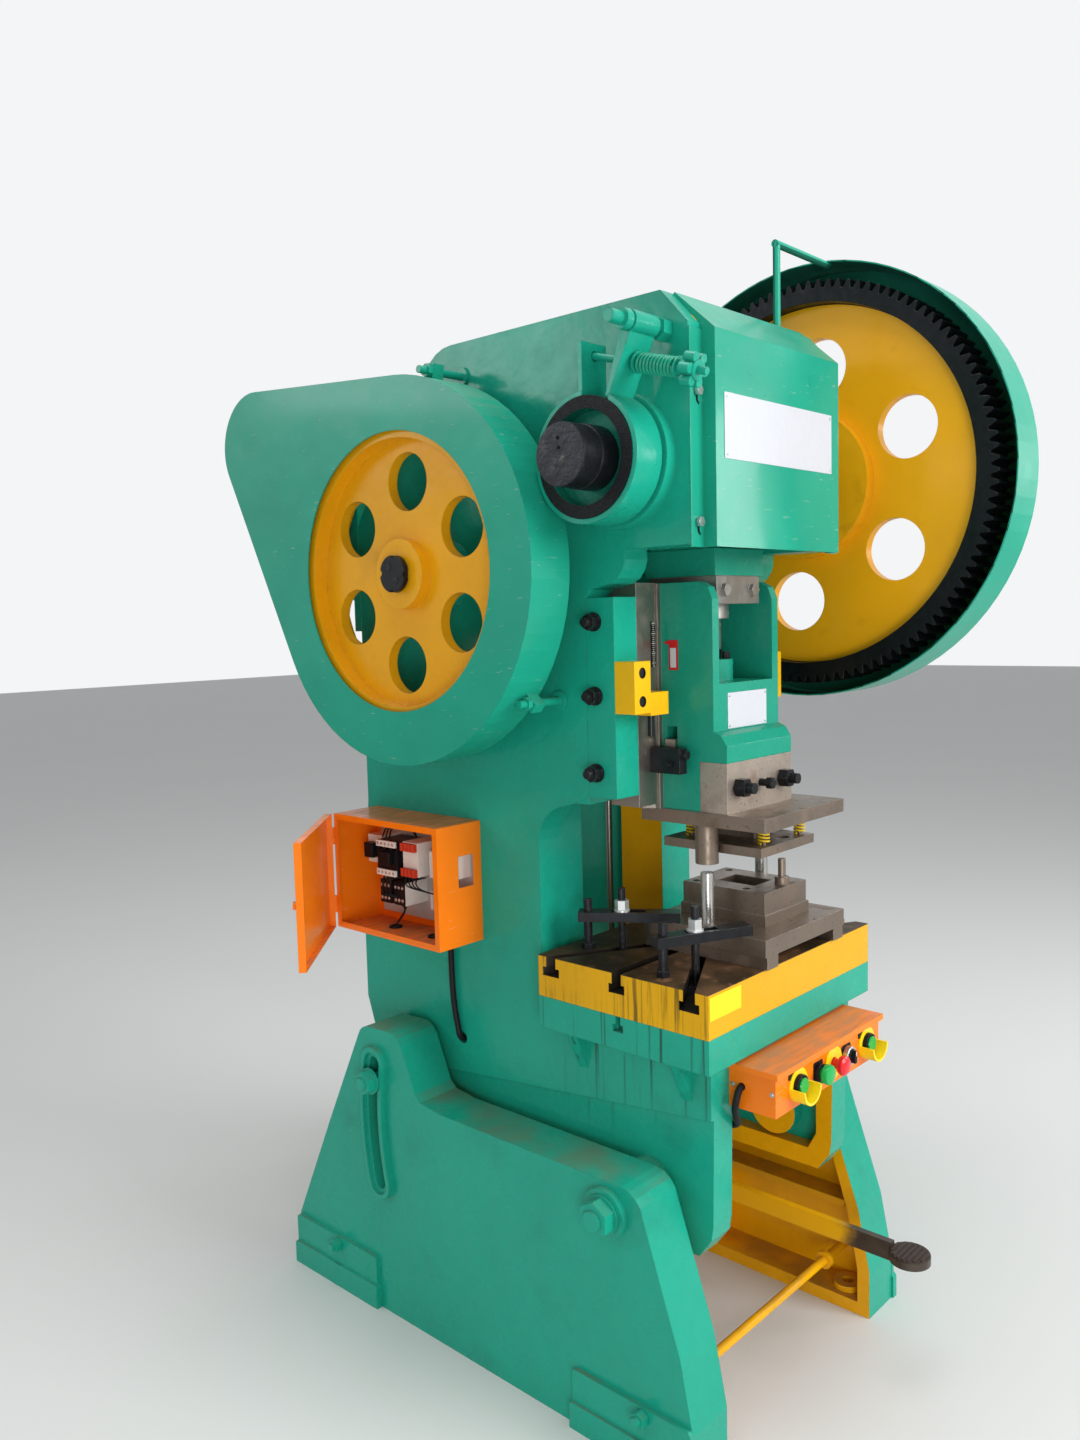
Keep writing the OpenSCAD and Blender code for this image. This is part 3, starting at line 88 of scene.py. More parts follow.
class Value:
    """A socket's output, on which Python's operators add Math nodes."""

    def __init__(self, graph, socket):
        self.graph = graph
        self.socket = socket

    def math(self, operation, *others, clamp=False):
        made = self.graph.node("ShaderNodeMath", {"operation": operation, "use_clamp": clamp})
        for place, value in enumerate((self, *others)):
            self.graph.feed(made.inputs[place], value)
        return Value(self.graph, made.outputs[0])

    __add__ = __radd__ = partialmethod(math, "ADD")
    __sub__ = partialmethod(math, "SUBTRACT")
    __mul__ = __rmul__ = partialmethod(math, "MULTIPLY")
    __pow__ = partialmethod(math, "POWER")
    __gt__ = partialmethod(math, "GREATER_THAN")
    __lt__ = partialmethod(math, "LESS_THAN")
    larger = partialmethod(math, "MAXIMUM")
    clamped = partialmethod(math, "ADD", 0.0, clamp=True)

    def __rsub__(self, other):
        return self * -1 + other

    def between(self, low, high):
        """0 below low and 1 above high, with a soft step; low may be the larger."""
        made = self.graph.node("ShaderNodeMapRange", {"interpolation_type": "SMOOTHSTEP"})
        for place, value in ((0, self), (1, low), (2, high)):
            self.graph.feed(made.inputs[place], value)
        return Value(self.graph, made.outputs[0])


class Graph:
    """Adds nodes to a tree and feeds their sockets."""

    def __init__(self, tree):
        self.tree = tree

    def node(self, kind, options=None, **inputs):
        made = self.tree.nodes.new(kind)
        for key, value in (options or {}).items():
            setattr(made, key, value)
        for key, value in inputs.items():
            self.feed(made.inputs[key.replace("_", " ")], value)
        return made

    def feed(self, socket, value):
        if isinstance(value, Value):
            value = value.socket
        if isinstance(value, str):
            value = linear(value)
        if isinstance(value, bpy.types.NodeSocket):
            self.tree.links.new(value, socket)
        elif socket.type == "VECTOR":
            socket.default_value = value[:3]
        else:
            socket.default_value = value


def linear(colour):
    """Linear values of a colour written as a hex string, as it looks on a screen."""
    channels = [int(colour[i:i + 2], 16) / 255 for i in (1, 3, 5)]
    return [c / 12.92 if c <= 0.04045 else ((c + 0.055) / 1.055) ** 2.4 for c in channels] + [1.0]


class Finish(Graph):
    """One material: its shader, and the patterns in metres that drive it."""

    def __init__(self, name, colour, roughness, metallic=0.0, coat=0.0, coat_roughness=0.15):
        self.material = bpy.data.materials.new(name)
        self.material.use_nodes = True
        super().__init__(self.material.node_tree)
        self.shader = self.tree.nodes["Principled BSDF"]
        self.put("Base Color", colour)
        self.put("Roughness", roughness)
        self.put("Metallic", metallic)
        self.put("Coat Weight", coat)
        self.put("Coat Roughness", coat_roughness)
        self.put("Specular IOR Level", SPECULAR_LEVEL)
        self.material.diffuse_color = linear(colour)
        self.place = self.node("ShaderNodeTexCoord").outputs["Object"]
        self.x, self.y, self.z = self.split(self.place)
        geometry = self.node("ShaderNodeNewGeometry")
        self.normal = geometry.outputs["Normal"]
        self.nx, self.ny, self.nz = self.split(self.normal)

    def put(self, socket, value):
        self.feed(self.shader.inputs[socket], value)

    def split(self, vector):
        made = self.node("ShaderNodeSeparateXYZ", Vector=vector)
        return [Value(self, made.outputs[i]) for i in range(3)]

    def stretched(self, scale):
        return self.node("ShaderNodeMapping", Vector=self.place, Scale=scale).outputs[0]

    def noise(self, scale, detail=3.0, stretch=None):
        where = self.stretched(stretch) if stretch else self.place
        made = self.node("ShaderNodeTexNoise", Vector=where, Scale=scale, Detail=detail)
        return Value(self, made.outputs[0])

    def cells(self, scale, feature="SMOOTH_F1"):
        made = self.node("ShaderNodeTexVoronoi", {"feature": feature}, Vector=self.place, Scale=scale)
        return Value(self, made.outputs[0])

    def mix(self, factor, first, second):
        made = self.node("ShaderNodeMix", {"data_type": "RGBA"})
        self.feed(made.inputs[0], factor)
        self.feed(made.inputs[6], first)
        self.feed(made.inputs[7], second)
        return made.outputs[2]

    def shade(self, colour, factor):
        """The colour darkened or lightened by a value round 1."""
        made = self.node("ShaderNodeVectorMath", {"operation": "SCALE"})
        self.feed(made.inputs[0], colour)
        self.feed(made.inputs["Scale"], factor)
        return made.outputs[0]

    def rounded(self, radius):
        """The normal with edges rounded to a radius."""
        return self.node("ShaderNodeBevel", {"samples": 4}, Radius=radius).outputs[0]

    def edges(self, rounded, low=0.02, high=0.12):
        """1 on edges, from how far the rounded normal leans from the true one."""
        made = self.node("ShaderNodeVectorMath", {"operation": "DOT_PRODUCT"})
        self.feed(made.inputs[0], rounded)
        self.feed(made.inputs[1], self.normal)
        return (1 - Value(self, made.outputs["Value"])).between(low, high)

    def bump(self, height, distance, normal=None):
        made = self.node("ShaderNodeBump", Height=height, Distance=distance)
        if normal is not None:
            self.feed(made.inputs["Normal"], normal)
        return made.outputs[0]


# Finishes


def enamel(name, colour, inner=None, where=None, hammer=0.00035, wave=0.0012, edge=0.003, dust=0.35,
           streaks=None):
    """Thick glossy enamel brushed over a casting: hammered skin, slow waves, dusty tops and worn edges.
    inner is a second colour, laid where the function where says."""
    look = settings("finishes")
    f = Finish(name, colour, 0.3, coat=look.coat, coat_roughness=0.12)
    slow = f.noise(3.1, 4)
    fine = f.noise(46, 3)
    paint = colour
    if inner:
        paint = f.mix(where(f), colour, inner)
    tone = slow * 0.34 + fine * 0.1 + 0.78
    paint = f.shade(paint, tone)
    rounded = f.rounded(edge)
    worn = f.edges(rounded) * f.noise(21, 5).between(0.56, 0.66)
    paint = f.mix(worn * look.wear, paint, "#3b4a40")
    top = f.nz.between(0.55, 0.95) * f.noise(9, 5).between(0.3, 0.75) * dust
    paint = f.mix(top, paint, "#6f6650")
    grime = f.noise(5.3, 6).between(0.56, 0.86) * 0.3
    if streaks:
        grime = grime.larger(streaks(f))
    paint = f.mix(grime, paint, "#15241c")
    f.put("Base Color", paint)
    f.put("Roughness", (f.noise(17, 4) * 0.2 + 0.16 + top * 0.4 + worn * 0.2 + grime * 0.3).clamped())
    f.put("Coat Weight", (look.coat - top - worn * 0.4).clamped())
    skin = f.bump(f.cells(95), hammer, rounded)
    f.put("Normal", f.bump(slow + f.noise(11, 2) * 0.5, wave * 6, f.bump(fine, hammer * 0.8, skin)))
    return f.material


def sheet_enamel(name, colour, dust=0.3, chips="#4a4038"):
    """Smooth stoved enamel on sheet metal, with a fine orange peel, scuffs and a dusty top."""
    look = settings("finishes")
    f = Finish(name, colour, 0.32, coat=look.coat * 1.3, coat_roughness=0.1)
    rounded = f.rounded(0.0012)
    worn = f.edges(rounded, 0.03, 0.15) * f.noise(60, 4).between(0.55, 0.62)
    paint = f.shade(colour, f.noise(6, 4) * 0.3 + 0.85)
    paint = f.mix(worn * look.wear, paint, chips)
    scuff = f.noise(30, 5, (1, 1, 7)).between(0.66, 0.74) * 0.2
    paint = f.mix(scuff, paint, "#e9d9c4")
    top = f.nz.between(0.6, 0.95) * f.noise(12, 5, (1, 5, 1)).between(0.25, 0.7) * dust
    paint = f.mix(top, paint, "#8a7a66")
    f.put("Base Color", paint)
    f.put("Roughness", (f.noise(24, 3) * 0.2 + 0.22 + top * 0.5 + scuff * 0.6).clamped())
    f.put("Normal", f.bump(f.noise(7, 2), 0.004, f.bump(f.cells(420), 0.0001, rounded)))
    return f.material


def hoop_finish():
    """Green enamel on a bent band, with painted shade on its inner side: a darker green there, which is also
    dull.
    """
    f = Finish("hoop_green", "#1f9a80", 0.34, coat=0.08)
    rounded = f.rounded(0.0012)
    # Inner side of the band, and the inward faces at its far side, where painted shade goes
    inner = ((f.y * f.ny + (f.z - 1.92) * f.nz) < 0).larger((f.nx < -0.5) * (f.x > 0.5))
    paint = f.shade("#1f9a80", f.noise(6, 4) * 0.3 + 0.85)
    # Darker green with a mottle, laid on the inner side as painted shade
    painted_inner_shade = f.shade("#15614f", f.noise(11, 5) * 0.7 + 0.6)
    f.put("Base Color", f.mix(inner, paint, painted_inner_shade))
    f.put("Roughness", (f.noise(24, 3) * 0.2 + inner * 0.65 + 0.22).clamped())
    f.put("Coat Weight", ((1 - inner) * 0.1).clamped())
    f.put("Normal", f.bump(f.noise(7, 2), 0.004, rounded))
    return f.material


def steel(name, colour="#8b8a86", rust=0.25, brushed=(1, 1, 1), grain=260, roughness=0.3, edge=0.0012):
    """Machined or ground steel: tool marks, stains of light rust and bright edges."""
    f = Finish(name, colour, roughness, metallic=0.85)
    rounded = f.rounded(edge)
    bright = f.edges(rounded, 0.02, 0.2)
    marks = f.noise(grain, 3, brushed)
    stain = f.noise(14, 6).between(0.5, 0.78) * rust
    spots = f.noise(130, 4).between(0.6, 0.72) * rust
    metal = f.shade(colour, f.noise(8, 5) * 0.5 + marks * 0.24 + 0.64)
    metal = f.mix(bright * 0.5, metal, "#c9c7c2")
    metal = f.mix(stain, metal, "#5d4330")
    metal = f.mix(spots, metal, "#46301f")
    f.put("Base Color", metal)
    f.put("Metallic", (0.88 - stain * 0.9 - spots * 0.8).clamped())
    f.put("Roughness", (f.noise(20, 4) * 0.22 + roughness - 0.08 + stain * 0.5 + spots * 0.4).clamped())
    f.put("Normal", f.bump(marks, 0.00006, f.bump(f.noise(90, 4), 0.00025, rounded)))
    return f.material


def black_oxide(name, colour="#26272a", roughness=0.34, plated=None):
    """Black hardened bolts and straps: oily, scaly, with bare steel showing on the edges.
    Where the function plated says, the steel is zinc plated instead."""
    f = Finish(name, colour, roughness, metallic=0.55)
    rounded = f.rounded(0.0009)
    worn = f.edges(rounded, 0.02, 0.18) * f.noise(110, 4).between(0.42, 0.62)
    base = f.shade(colour, f.noise(35, 5) * 0.8 + 0.6)
    base = f.mix(worn * 0.75, base, "#8e8c88")
    brown = f.noise(24, 5).between(0.58, 0.8) * 0.35
    base = f.mix(brown, base, "#4a382a")
    if plated:
        base = f.mix(plated(f), base, f.shade("#c3c6c5", f.noise(50, 4) * 0.4 + 0.8))
    f.put("Base Color", base)
    f.put("Roughness", (f.noise(60, 3) * 0.3 + roughness - 0.14 + brown * 0.6).clamped())
    f.put("Normal", f.bump(f.noise(300, 3), 0.00012, rounded))
    return f.material


def granular(name, colour, second=None, where=None, size=420, depth=0.0009):
    """Coarse black friction lining or a painted casting with an oily grain."""
    f = Finish(name, colour, 0.5, metallic=0.1)
    base = colour
    outside = None
    if second:
        outside = where(f)
        base = f.mix(outside, second, colour)
    base = f.shade(base, f.noise(150, 4) * 0.9 + 0.55)
    f.put("Base Color", base)
    f.put("Roughness", f.noise(90, 3) * 0.4 + 0.22)
    grain = f.cells(size, "F1") + f.noise(260, 3) * 0.8
    if outside is not None:
        grain = grain * (outside * 0.85 + 0.15)
    f.put("Normal", f.bump(grain, depth, f.rounded(0.0015)))
    return f.material


def plain(name, colour, roughness=0.4, metallic=0.0, mottled=0.25, grain=300, depth=0.00005, coat=0.0):
    """Moulded, cast or plated stuff with a faint mottle and a fine grain."""
    f = Finish(name, colour, roughness, metallic=metallic, coat=coat)
    f.put("Base Color", f.shade(colour, f.noise(70, 4) * mottled + 1 - mottled / 2))
    f.put("Roughness", (f.noise(40, 3) * 0.2 + roughness - 0.1).clamped())
    f.put("Normal", f.bump(f.noise(grain, 3), depth, f.rounded(0.0006)))
    return f.material


def inside_of_frame(f):
    """1 on the yellow inner faces of the frame: between the walls, behind the front edges."""
    wall_inner = 0.2358
    between_walls = f.x.math("ABSOLUTE") < wall_inner
    behind_throat = (f.y > 0.2425) * (f.z > 0.83)
    head = (f.y > -0.150) * (f.z > 1.765) * (f.z < 2.17)
    below_table = (f.z < 0.76) * (f.ny > -0.6) * (f.y > -0.186) * (f.z > 0.3695)
    return between_walls * behind_throat.larger(below_table).larger(head)


def inside_of_leg(f):
    """1 on the yellow inner faces of a leg, within its outline."""
    front = (f.y > -0.213) * ((f.y - (f.z - 0.112) * 0.193) > -0.213)
    front = front * ((f.y - (f.z - 0.252) * 0.332) > -0.186)
    rear = (f.y < 0.97) * ((f.y + (f.z - 0.125) * 0.496) < 0.97)
    hump = (f.y > 0.583) * (f.y < 0.70) * (f.z < 0.64) * (f.nz < 0.5)
    below = (f.z < 0.522).larger(hump) * (f.z > 0.012)
    hollow = front * rear * below * (f.x.math("ABSOLUTE") < 0.381)
    return hollow.larger(((f.nx * f.x) < -0.1) * (f.x.math("ABSOLUTE") < 0.3))


def nuts_of_rods(f):
    """1 on the nuts and ends of the tie rods, outside the legs."""
    return f.x.math("ABSOLUTE") > 0.4


def dark_in_brackets(f):
    """1 on the stud under a stop bracket and on the bolts sunk in its two holes."""
    across = (f.x.math("ABSOLUTE") - 0.246) ** 2
    holes = [(across + (f.z - z) ** 2) < 0.0113 ** 2 for z in (1.452, 1.508)]
    return (f.z < 1.4215).larger(holes[0].larger(holes[1]) * (f.y > -0.0205))


def ram_bare(f):
    """1 on the ram's rails, its underside and its bored pocket."""
    return (f.x.math("ABSOLUTE") > 0.1234).larger(f.nz < -0.7).larger((f.y > 0.0245) * (f.z < 1.7))


def conrod_bare(f):
    """1 on the machined clamp at the connecting rod's lower end, below its flange."""
    return f.z < 1.6972


def bright_nuts(f):
    """1 on the plated nuts and washers that hold the two straps down."""
    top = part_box("strap_clamps")[1].z
    near = [((f.x - x) ** 2 + (f.y - y) ** 2) < 0.019 ** 2 for x, y, _ in CLAMPS]
    return near[0].larger(near[1]) * (f.z > top) * (f.z < top + 0.0241)


def table_streaks(f):
    """Black drips of oil below the T-slots, on the left side of the table."""
    side = (f.nx < -0.5) * (f.z < 0.84) * (f.z > 0.55) * (f.x < -0.25) * (f.y < 0.24)
    run = f.noise(75, 3, (1, 1, 0.02)).between(0.56, 0.68)
    fade = f.z.between(0.5, 0.82)
    return side * run * fade * 0.75


def bolster_finish():
    """Yellow sides with black drips, a scaly brown top and slots that are dark inside."""
    low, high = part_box("bolster")
    f = Finish("bolster_yellow_and_scale", "#e8b80c", 0.4, coat=0.35)
    rounded = f.rounded(0.002)
    top = (f.z > high.z - 0.0012).larger((f.nz > 0.5) * (f.z > low.z + 0.02))
    skin_depth = 0.0012
    slot = f.z < high.z - skin_depth
    for place, least, most in ((f.x, low.x, high.x), (f.y, low.y, high.y)):
        slot = slot * (place > least + skin_depth) * (place < most - skin_depth)
    left = f.nx < -0.5
    oily_side = f.noise(6, 3).between(0.3, 0.6)
    paint = f.shade("#d6a106", f.noise(5, 4) * 0.3 + 0.84)
    for scale, width, depth, colour in ((150, 0.1, 0.5, "#6d4f06"), (60, 0.12, 0.75, "#332a14")):
        drips = left * f.noise(scale, 3, (1, 1, 0.04)).between(0.53, 0.53 + width) * oily_side
        paint = f.mix(drips * depth, paint, colour)
    chips = f.edges(rounded) * f.noise(40, 5).between(0.48, 0.6)
    paint = f.mix(chips * 0.8, paint, "#4b3a2c")
    scale = f.mix(f.noise(9, 7).between(0.36, 0.66), "#6e5238", "#342a1c")
    scale = f.mix(f.noise(33, 6).between(0.55, 0.7) * 0.7, scale, "#94694c")
    oily = (f.y + f.noise(7, 5) * 0.16 - 0.08).between(-0.06, 0.05) * 0.7
    scale = f.mix(oily, scale, "#211d14")
    surface = f.mix(top, paint, scale)
    # The faces inside the T-slots get a uniform dark brown
    surface = f.mix(slot, surface, "#2a2520")
    f.put("Base Color", surface)
    f.put("Metallic", (top * 0.35).clamped())
    f.put("Roughness", (f.noise(26, 4) * 0.25 + 0.18 + top * 0.2).clamped())
    f.put("Coat Weight", ((1 - top) * 0.06).clamped())
    f.put("Normal", f.bump(f.noise(40, 6) * top + f.cells(95) * 0.2, 0.0009, rounded))
    return f.material


def gear_finish():
    """Yellow web and hub, with the toothed rim left black and oily."""
    f = Finish("gear_yellow_and_black", "#e2a211", 0.36, coat=0.25)
    radius = (f.y ** 2 + (f.z - CRANK_Z) ** 2) ** 0.5
    rim = radius > 0.4135
    rounded = f.rounded(0.002)
    paint = f.shade("#f0ab0f", f.noise(4, 5) * 0.3 + 0.86)
    grime = f.noise(12, 6).between(0.6, 0.85) * 0.3
    paint = f.mix(grime, paint, "#5a3c0a")
    metal = f.shade("#1d2022", f.noise(60, 4) * 0.9 + 0.5)
    bright = f.edges(rounded, 0.05, 0.3) * f.noise(50, 4).between(0.4, 0.6) * 0.35
    metal = f.mix(bright, metal, "#77797a")
    f.put("Base Color", f.mix(rim, paint, metal))
    f.put("Metallic", rim * 0.6)
    f.put("Roughness", (f.noise(15, 4) * 0.25 + 0.24 + grime * 0.3).clamped())
    f.put("Coat Weight", (0.35 - rim).clamped())
    f.put("Normal", f.bump(f.cells(60) + f.noise(14, 3) * 3, 0.0006, rounded))
    return f.material


def half_painted(name, where, steel_colour="#8c857c"):
    """Green enamel, with machined and greased steel where the function where says."""
    look = settings("finishes")
    f = Finish(name, look.enamel, 0.28, coat=look.coat)
    bare = where(f)
    rounded = f.rounded(0.0025)
    paint = f.shade("#1b8f76", f.noise(4, 4) * 0.34 + 0.8)
    worn = f.edges(rounded) * f.noise(25, 5).between(0.54, 0.64)
    paint = f.mix(worn * look.wear, paint, "#3b4a40")
    metal = f.shade(steel_colour, f.noise(40, 4, (1, 1, 0.1)) * 0.6 + 0.6)
    f.put("Base Color", f.mix(bare, paint, metal))
    f.put("Metallic", bare * 0.8)
    f.put("Roughness", (f.noise(15, 4) * 0.2 + 0.17 + bare * 0.08).clamped())
    f.put("Coat Weight", ((1 - bare) * look.coat).clamped())
    f.put("Normal", f.bump(f.noise(11, 3), 0.005, f.bump(f.cells(110), 0.00025, rounded)))
    return f.material


def drum_finish():
    """Brake drum: coarse black rim, green hub."""
    def outer(f):
        return ((f.y ** 2 + (f.z - CRANK_Z) ** 2) ** 0.5) > 0.0882
    return granular("drum_black_and_green", "#1b1c1e", "#136f5b", outer, 300, 0.0012)


def crank_finish():
    """Forged and turned shaft, black with oil, with a scaly end."""
    f = Finish("crankshaft_oily_black", "#26282b", 0.3, metallic=0.65)
    rounded = f.rounded(0.003)
    base = f.shade("#2a2c30", f.noise(18, 5) * 1.0 + 0.5)
    worn = f.noise(34, 6).between(0.56, 0.7)
    base = f.mix(worn * 0.3, base, "#5a5450")
    f.put("Base Color", base)
    f.put("Roughness", f.noise(30, 4) * 0.35 + 0.14)
    f.put("Normal", f.bump(f.noise(70, 5), 0.0009, rounded))
    return f.material


def pedal_finish():
    """Yellow bar whose front end has been worn to dark steel."""
    f = Finish("pedal_yellow_worn", "#dfa616", 0.4, coat=0.2)
    rounded = f.rounded(0.002)
    bare = (f.y * -1 + f.noise(16, 5) * 0.12).between(0.27, 0.33)
    paint = f.shade("#ebb010", f.noise(7, 5) * 0.3 + 0.84)
    metal = f.shade("#4c433c", f.noise(40, 5) * 0.7 + 0.6)
    f.put("Base Color", f.mix(bare, paint, metal))
    f.put("Metallic", bare * 0.45)
    f.put("Roughness", f.noise(24, 4) * 0.25 + 0.28)
    f.put("Normal", f.bump(f.noise(22, 4), 0.0015, rounded))
    return f.material


def fittings_finish():
    """Cabinet fittings: each block takes its colour from where it stands."""
    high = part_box("cabinet_fittings")[1]
    f = Finish("fittings_plastic", "#d7d6cf", 0.45)
    plate = f.x > high.x - 0.0021
    black = ((f.y > 0.6) * (f.y < 0.688) * (f.x < high.x - 0.0021)).clamped()
    base = f.mix(black, "#dcdbd4", "#15161a")
    base = f.mix(plate, base, "#b3b5b2")
    f.put("Base Color", f.shade(base, f.noise(50, 3) * 0.2 + 0.9))
    f.put("Roughness", f.noise(60, 3) * 0.2 + 0.3)
    f.put("Normal", f.bump(f.noise(300, 2), 0.00005, f.rounded(0.0008)))
    return f.material


def make_finishes():
    """All the finishes, by the name that the pieces ask for."""
    look = settings("finishes")
    green, yellow = look.enamel, look.yellow
    return {
        "green": enamel("enamel_green", green),
        "frame": enamel("enamel_frame", green, yellow, inside_of_frame, streaks=table_streaks),
        "leg": enamel("enamel_leg", green, yellow, inside_of_leg, dust=0.6),
        "sheet_green": sheet_enamel("sheet_green", "#1a967c"),
        "rods": enamel("rod_yellow", yellow, green, nuts_of_rods, hammer=0.0001, edge=0.001),
        "bracket": enamel("bracket_yellow", "#e3ae0b", "#1c1d1f", dark_in_brackets, 0.0001, edge=0.0015),
        "wheel": enamel("flywheel_yellow", "#e0a010", hammer=0.00016, wave=0.0008, dust=0.1),
        "orange": sheet_enamel("box_orange", look.orange, dust=0.55),
        "hoop": hoop_finish(),
        "bolster": bolster_finish(),
        "gear": gear_finish(),
        "ram": half_painted("ram_green_and_bare", ram_bare),
        "conrod": half_painted("conrod_green_and_bare", conrod_bare, "#a3a09a"),
        "drum": drum_finish(),
        "crank": crank_finish(),
        "pedal": pedal_finish(),
        "fittings": fittings_finish(),
        "steel": steel("steel_machined"),
        "die_steel": steel("die_steel_stained", "#807367", 0.6, roughness=0.36),
        "ground": steel("steel_ground", "#b4b3af", 0.08, (1, 1, 0.08), 300, 0.2),
        "strip": steel("gib_strip_greased", "#8b857d", 0.4, (1, 1, 0.1), 200, 0.28),
        "cap": steel("clamp_cap_rusty", "#a99d91", 0.6, (0.2, 1, 1), 240, 0.4),
        "black": black_oxide("black_oxide"),
        "clamps": black_oxide("black_oxide_and_zinc", plated=bright_nuts),
        "zinc": plain("zinc_plated", "#b9bdbd", 0.3, 0.9, 0.3),
        "brass": plain("bronze_bush", "#a9793a", 0.35, 0.9, 0.3),
        "rubber": plain("black_rubber", "#17181a", 0.5, mottled=0.4, depth=0.0001),
        "belt": plain("belt_rubber", "#1c1c1d", 0.7, mottled=0.5, depth=0.0002),
        "tread": granular("tread_rubber", "#3b302b", size=500, depth=0.0004),
        "motor": sheet_enamel("motor_blue_grey", "#2e6f83"),
        "spring_green": enamel("spring_green", "#1f9679", hammer=0.0001, edge=0.0006),
        "spring_yellow": plain("spring_yellow", "#d9b722", 0.35, coat=0.3),
        "collar": plain("collar_yellow", "#f0cf17", 0.32, coat=0.3, mottled=0.12),
        "button_green": plain("button_green", "#12a24b", 0.28, coat=0.4, mottled=0.1),
        "button_red": plain("button_red", "#d42028", 0.28, coat=0.4, mottled=0.1),
        "black_plastic": plain("black_plastic", "#141518", 0.42, mottled=0.15),
        "white_plastic": plain("white_plastic", "#e4e3dc", 0.4, mottled=0.1),
        "red_plastic": plain("red_plastic", "#c8402a", 0.4, mottled=0.15),
        "lacquer_red": plain("pointer_red", "#c41f24", 0.35, mottled=0.2),
        "plate": plain("bare_plate", "#c3c5cb", 0.4, mottled=0.08, depth=0.00002),
        "plate_yellow": plain("bare_plate_yellow", "#e6d11f", 0.35, mottled=0.1),
        # Near-black painted shade, laid over small holes and slots that are not cut
        "painted_hole_shade": plain("dark_recess", "#070808", 0.8),
        "copper": plain("copper_strand", "#b06a3c", 0.3, 0.9),
    }


WORN_BY = {
    "frame": "frame",
    "leg": "left_leg right_leg",
    "rods": "tie_rods",
    "green": "tilt_studs slot_bolts gib_blocks motor_plate guard_rods brake_band brake_pins star_knob",
    "strip": "gib_strips knockout_bar",
    "black": "gib_bolts limit_brackets strap_clamps motor_pulley ram_bolts",
    "bracket": "stop_brackets",
    "bolster": "bolster",
    "sheet_green": "head_cover flywheel_guard",
    "zinc": "cover_screws",
    "orange": "control_box control_lid cabinet cabinet_door",
    "collar": "button_guards",
    "fittings": "cabinet_fittings",
    "motor": "motor",
    "hoop": "gear_guard",
    "brass": "bearing_bushes",
    "spring_green": "brake_spring",
    "belt": "v_belts",
    "die_steel": "lower_shoe lower_die upper_shoe punch_plate stripper",
    "ground": "guide_posts adjusting_screw",
    "clamps": "clamp_bolts",
    "gear": "gear",
    "crank": "drive_shaft crankshaft",
    "wheel": "flywheel",
    "drum": "brake_drum",
    "conrod": "conrod",
    "ram": "ram",
    "cap": "shank_clamp",
    "spring_yellow": "stripper_springs",
    "pedal": "pedal",
    "steel": "trip_rod",
    "button_green": "left_button start_button right_button",
    "button_red": "stop_button",
    "black_plastic": "selector",
    "rubber": "control_cable",
}
FINISH_OF = {node: finish for finish, nodes in WORN_BY.items() for node in nodes.split()}
FINISHES = {}
CLAMPS = [(-0.173, 0.1009, -55.0), (-0.207, -0.1097, -25.0)]


# Shapes in a bmesh, in metres


def axes_along(direction):
    """Two unit vectors square to a direction, and the direction itself."""
    along = Vector(direction).normalized()
    side = along.orthogonal().normalized()
    return side, along.cross(side), along


def turns(sides, shift=0.0):
    """Evenly spaced angles round a circle."""
    return [2 * math.pi * (i + shift) / sides for i in range(sides)]


def circle(bm, centre, side, other, radius, sides):
    """A ring of vertices round a centre."""
    return [bm.verts.new(centre + (side * math.cos(a) + other * math.sin(a)) * radius) for a in turns(sides)]


def skin(bm, rings, ends=True):
    """Faces from each ring of vertices to the next, and over the ends. A ring of one vertex is a point."""
    for first, second in zip(rings, rings[1:]):
        for i in range(max(len(first), len(second))):
            corners = [first[i % len(first)], first[(i + 1) % len(first)],
                       second[(i + 1) % len(second)], second[i % len(second)]]
            unique = list(dict.fromkeys(corners))
            if len(unique) > 2:
                bm.faces.new(unique)
    for ring in (rings[0][::-1], rings[-1]):
        if ends and len(ring) > 1:
            bm.faces.new(ring)


def lathe(bm, start, direction, profile, sides=32):
    """Turns a profile of (distance along, radius) pairs about an axis. Radius 0 closes an end in a point."""
    side, other, along = axes_along(direction)
    skin(bm, [circle(bm, Vector(start) + along * distance, side, other, radius, sides if radius else 1)
              for distance, radius in profile])


def tube_ring(bm, start, direction, inner, outer, height, sides=48):
    """A flat ring with a square section."""
    side, other, along = axes_along(direction)
    rings = []
    for turn in turns(sides):
        out = side * math.cos(turn) + other * math.sin(turn)
        section = ((0, inner), (0, outer), (height, outer), (height, inner))
        rings.append([bm.verts.new(Vector(start) + along * d + out * r) for d, r in section])
    skin(bm, rings + rings[:1], ends=False)


def block(bm, low, high):
    """A box between two corners."""
    middle = (Vector(low) + Vector(high)) / 2
    size = Vector(high) - Vector(low)
    place = Matrix.Translation(middle) @ Matrix.Diagonal((*size, 1))
    bmesh.ops.create_cube(bm, size=1, matrix=place)


def prism(bm, outline, start, across, up, depth):
    """A flat outline of (across, up) pairs, made solid by a depth along across x up."""
    start, across, up = Vector(start), Vector(across).normalized(), Vector(up).normalized()
    push = across.cross(up) * depth
    front = [bm.verts.new(start + across * u + up * v) for u, v in outline]
    back = [bm.verts.new(v.co + push) for v in front]
    skin(bm, [front, back])


def holed_plate(bm, centre, half_w, half_h, hole, depth, sides=40):
    """An upright plate facing -Y with a round hole, its front at centre."""
    rings = []
    for turn in turns(sides, 0.5):
        c, s = math.cos(turn), math.sin(turn)
        reach = min(half_w / max(abs(c), 1e-6), half_h / max(abs(s), 1e-6))
        section = ((reach, 0), (hole, 0), (hole, depth), (reach, depth))
        rings.append([bm.verts.new(Vector(centre) + Vector((c * r, y, s * r))) for r, y in section])
    skin(bm, rings + rings[:1], ends=False)


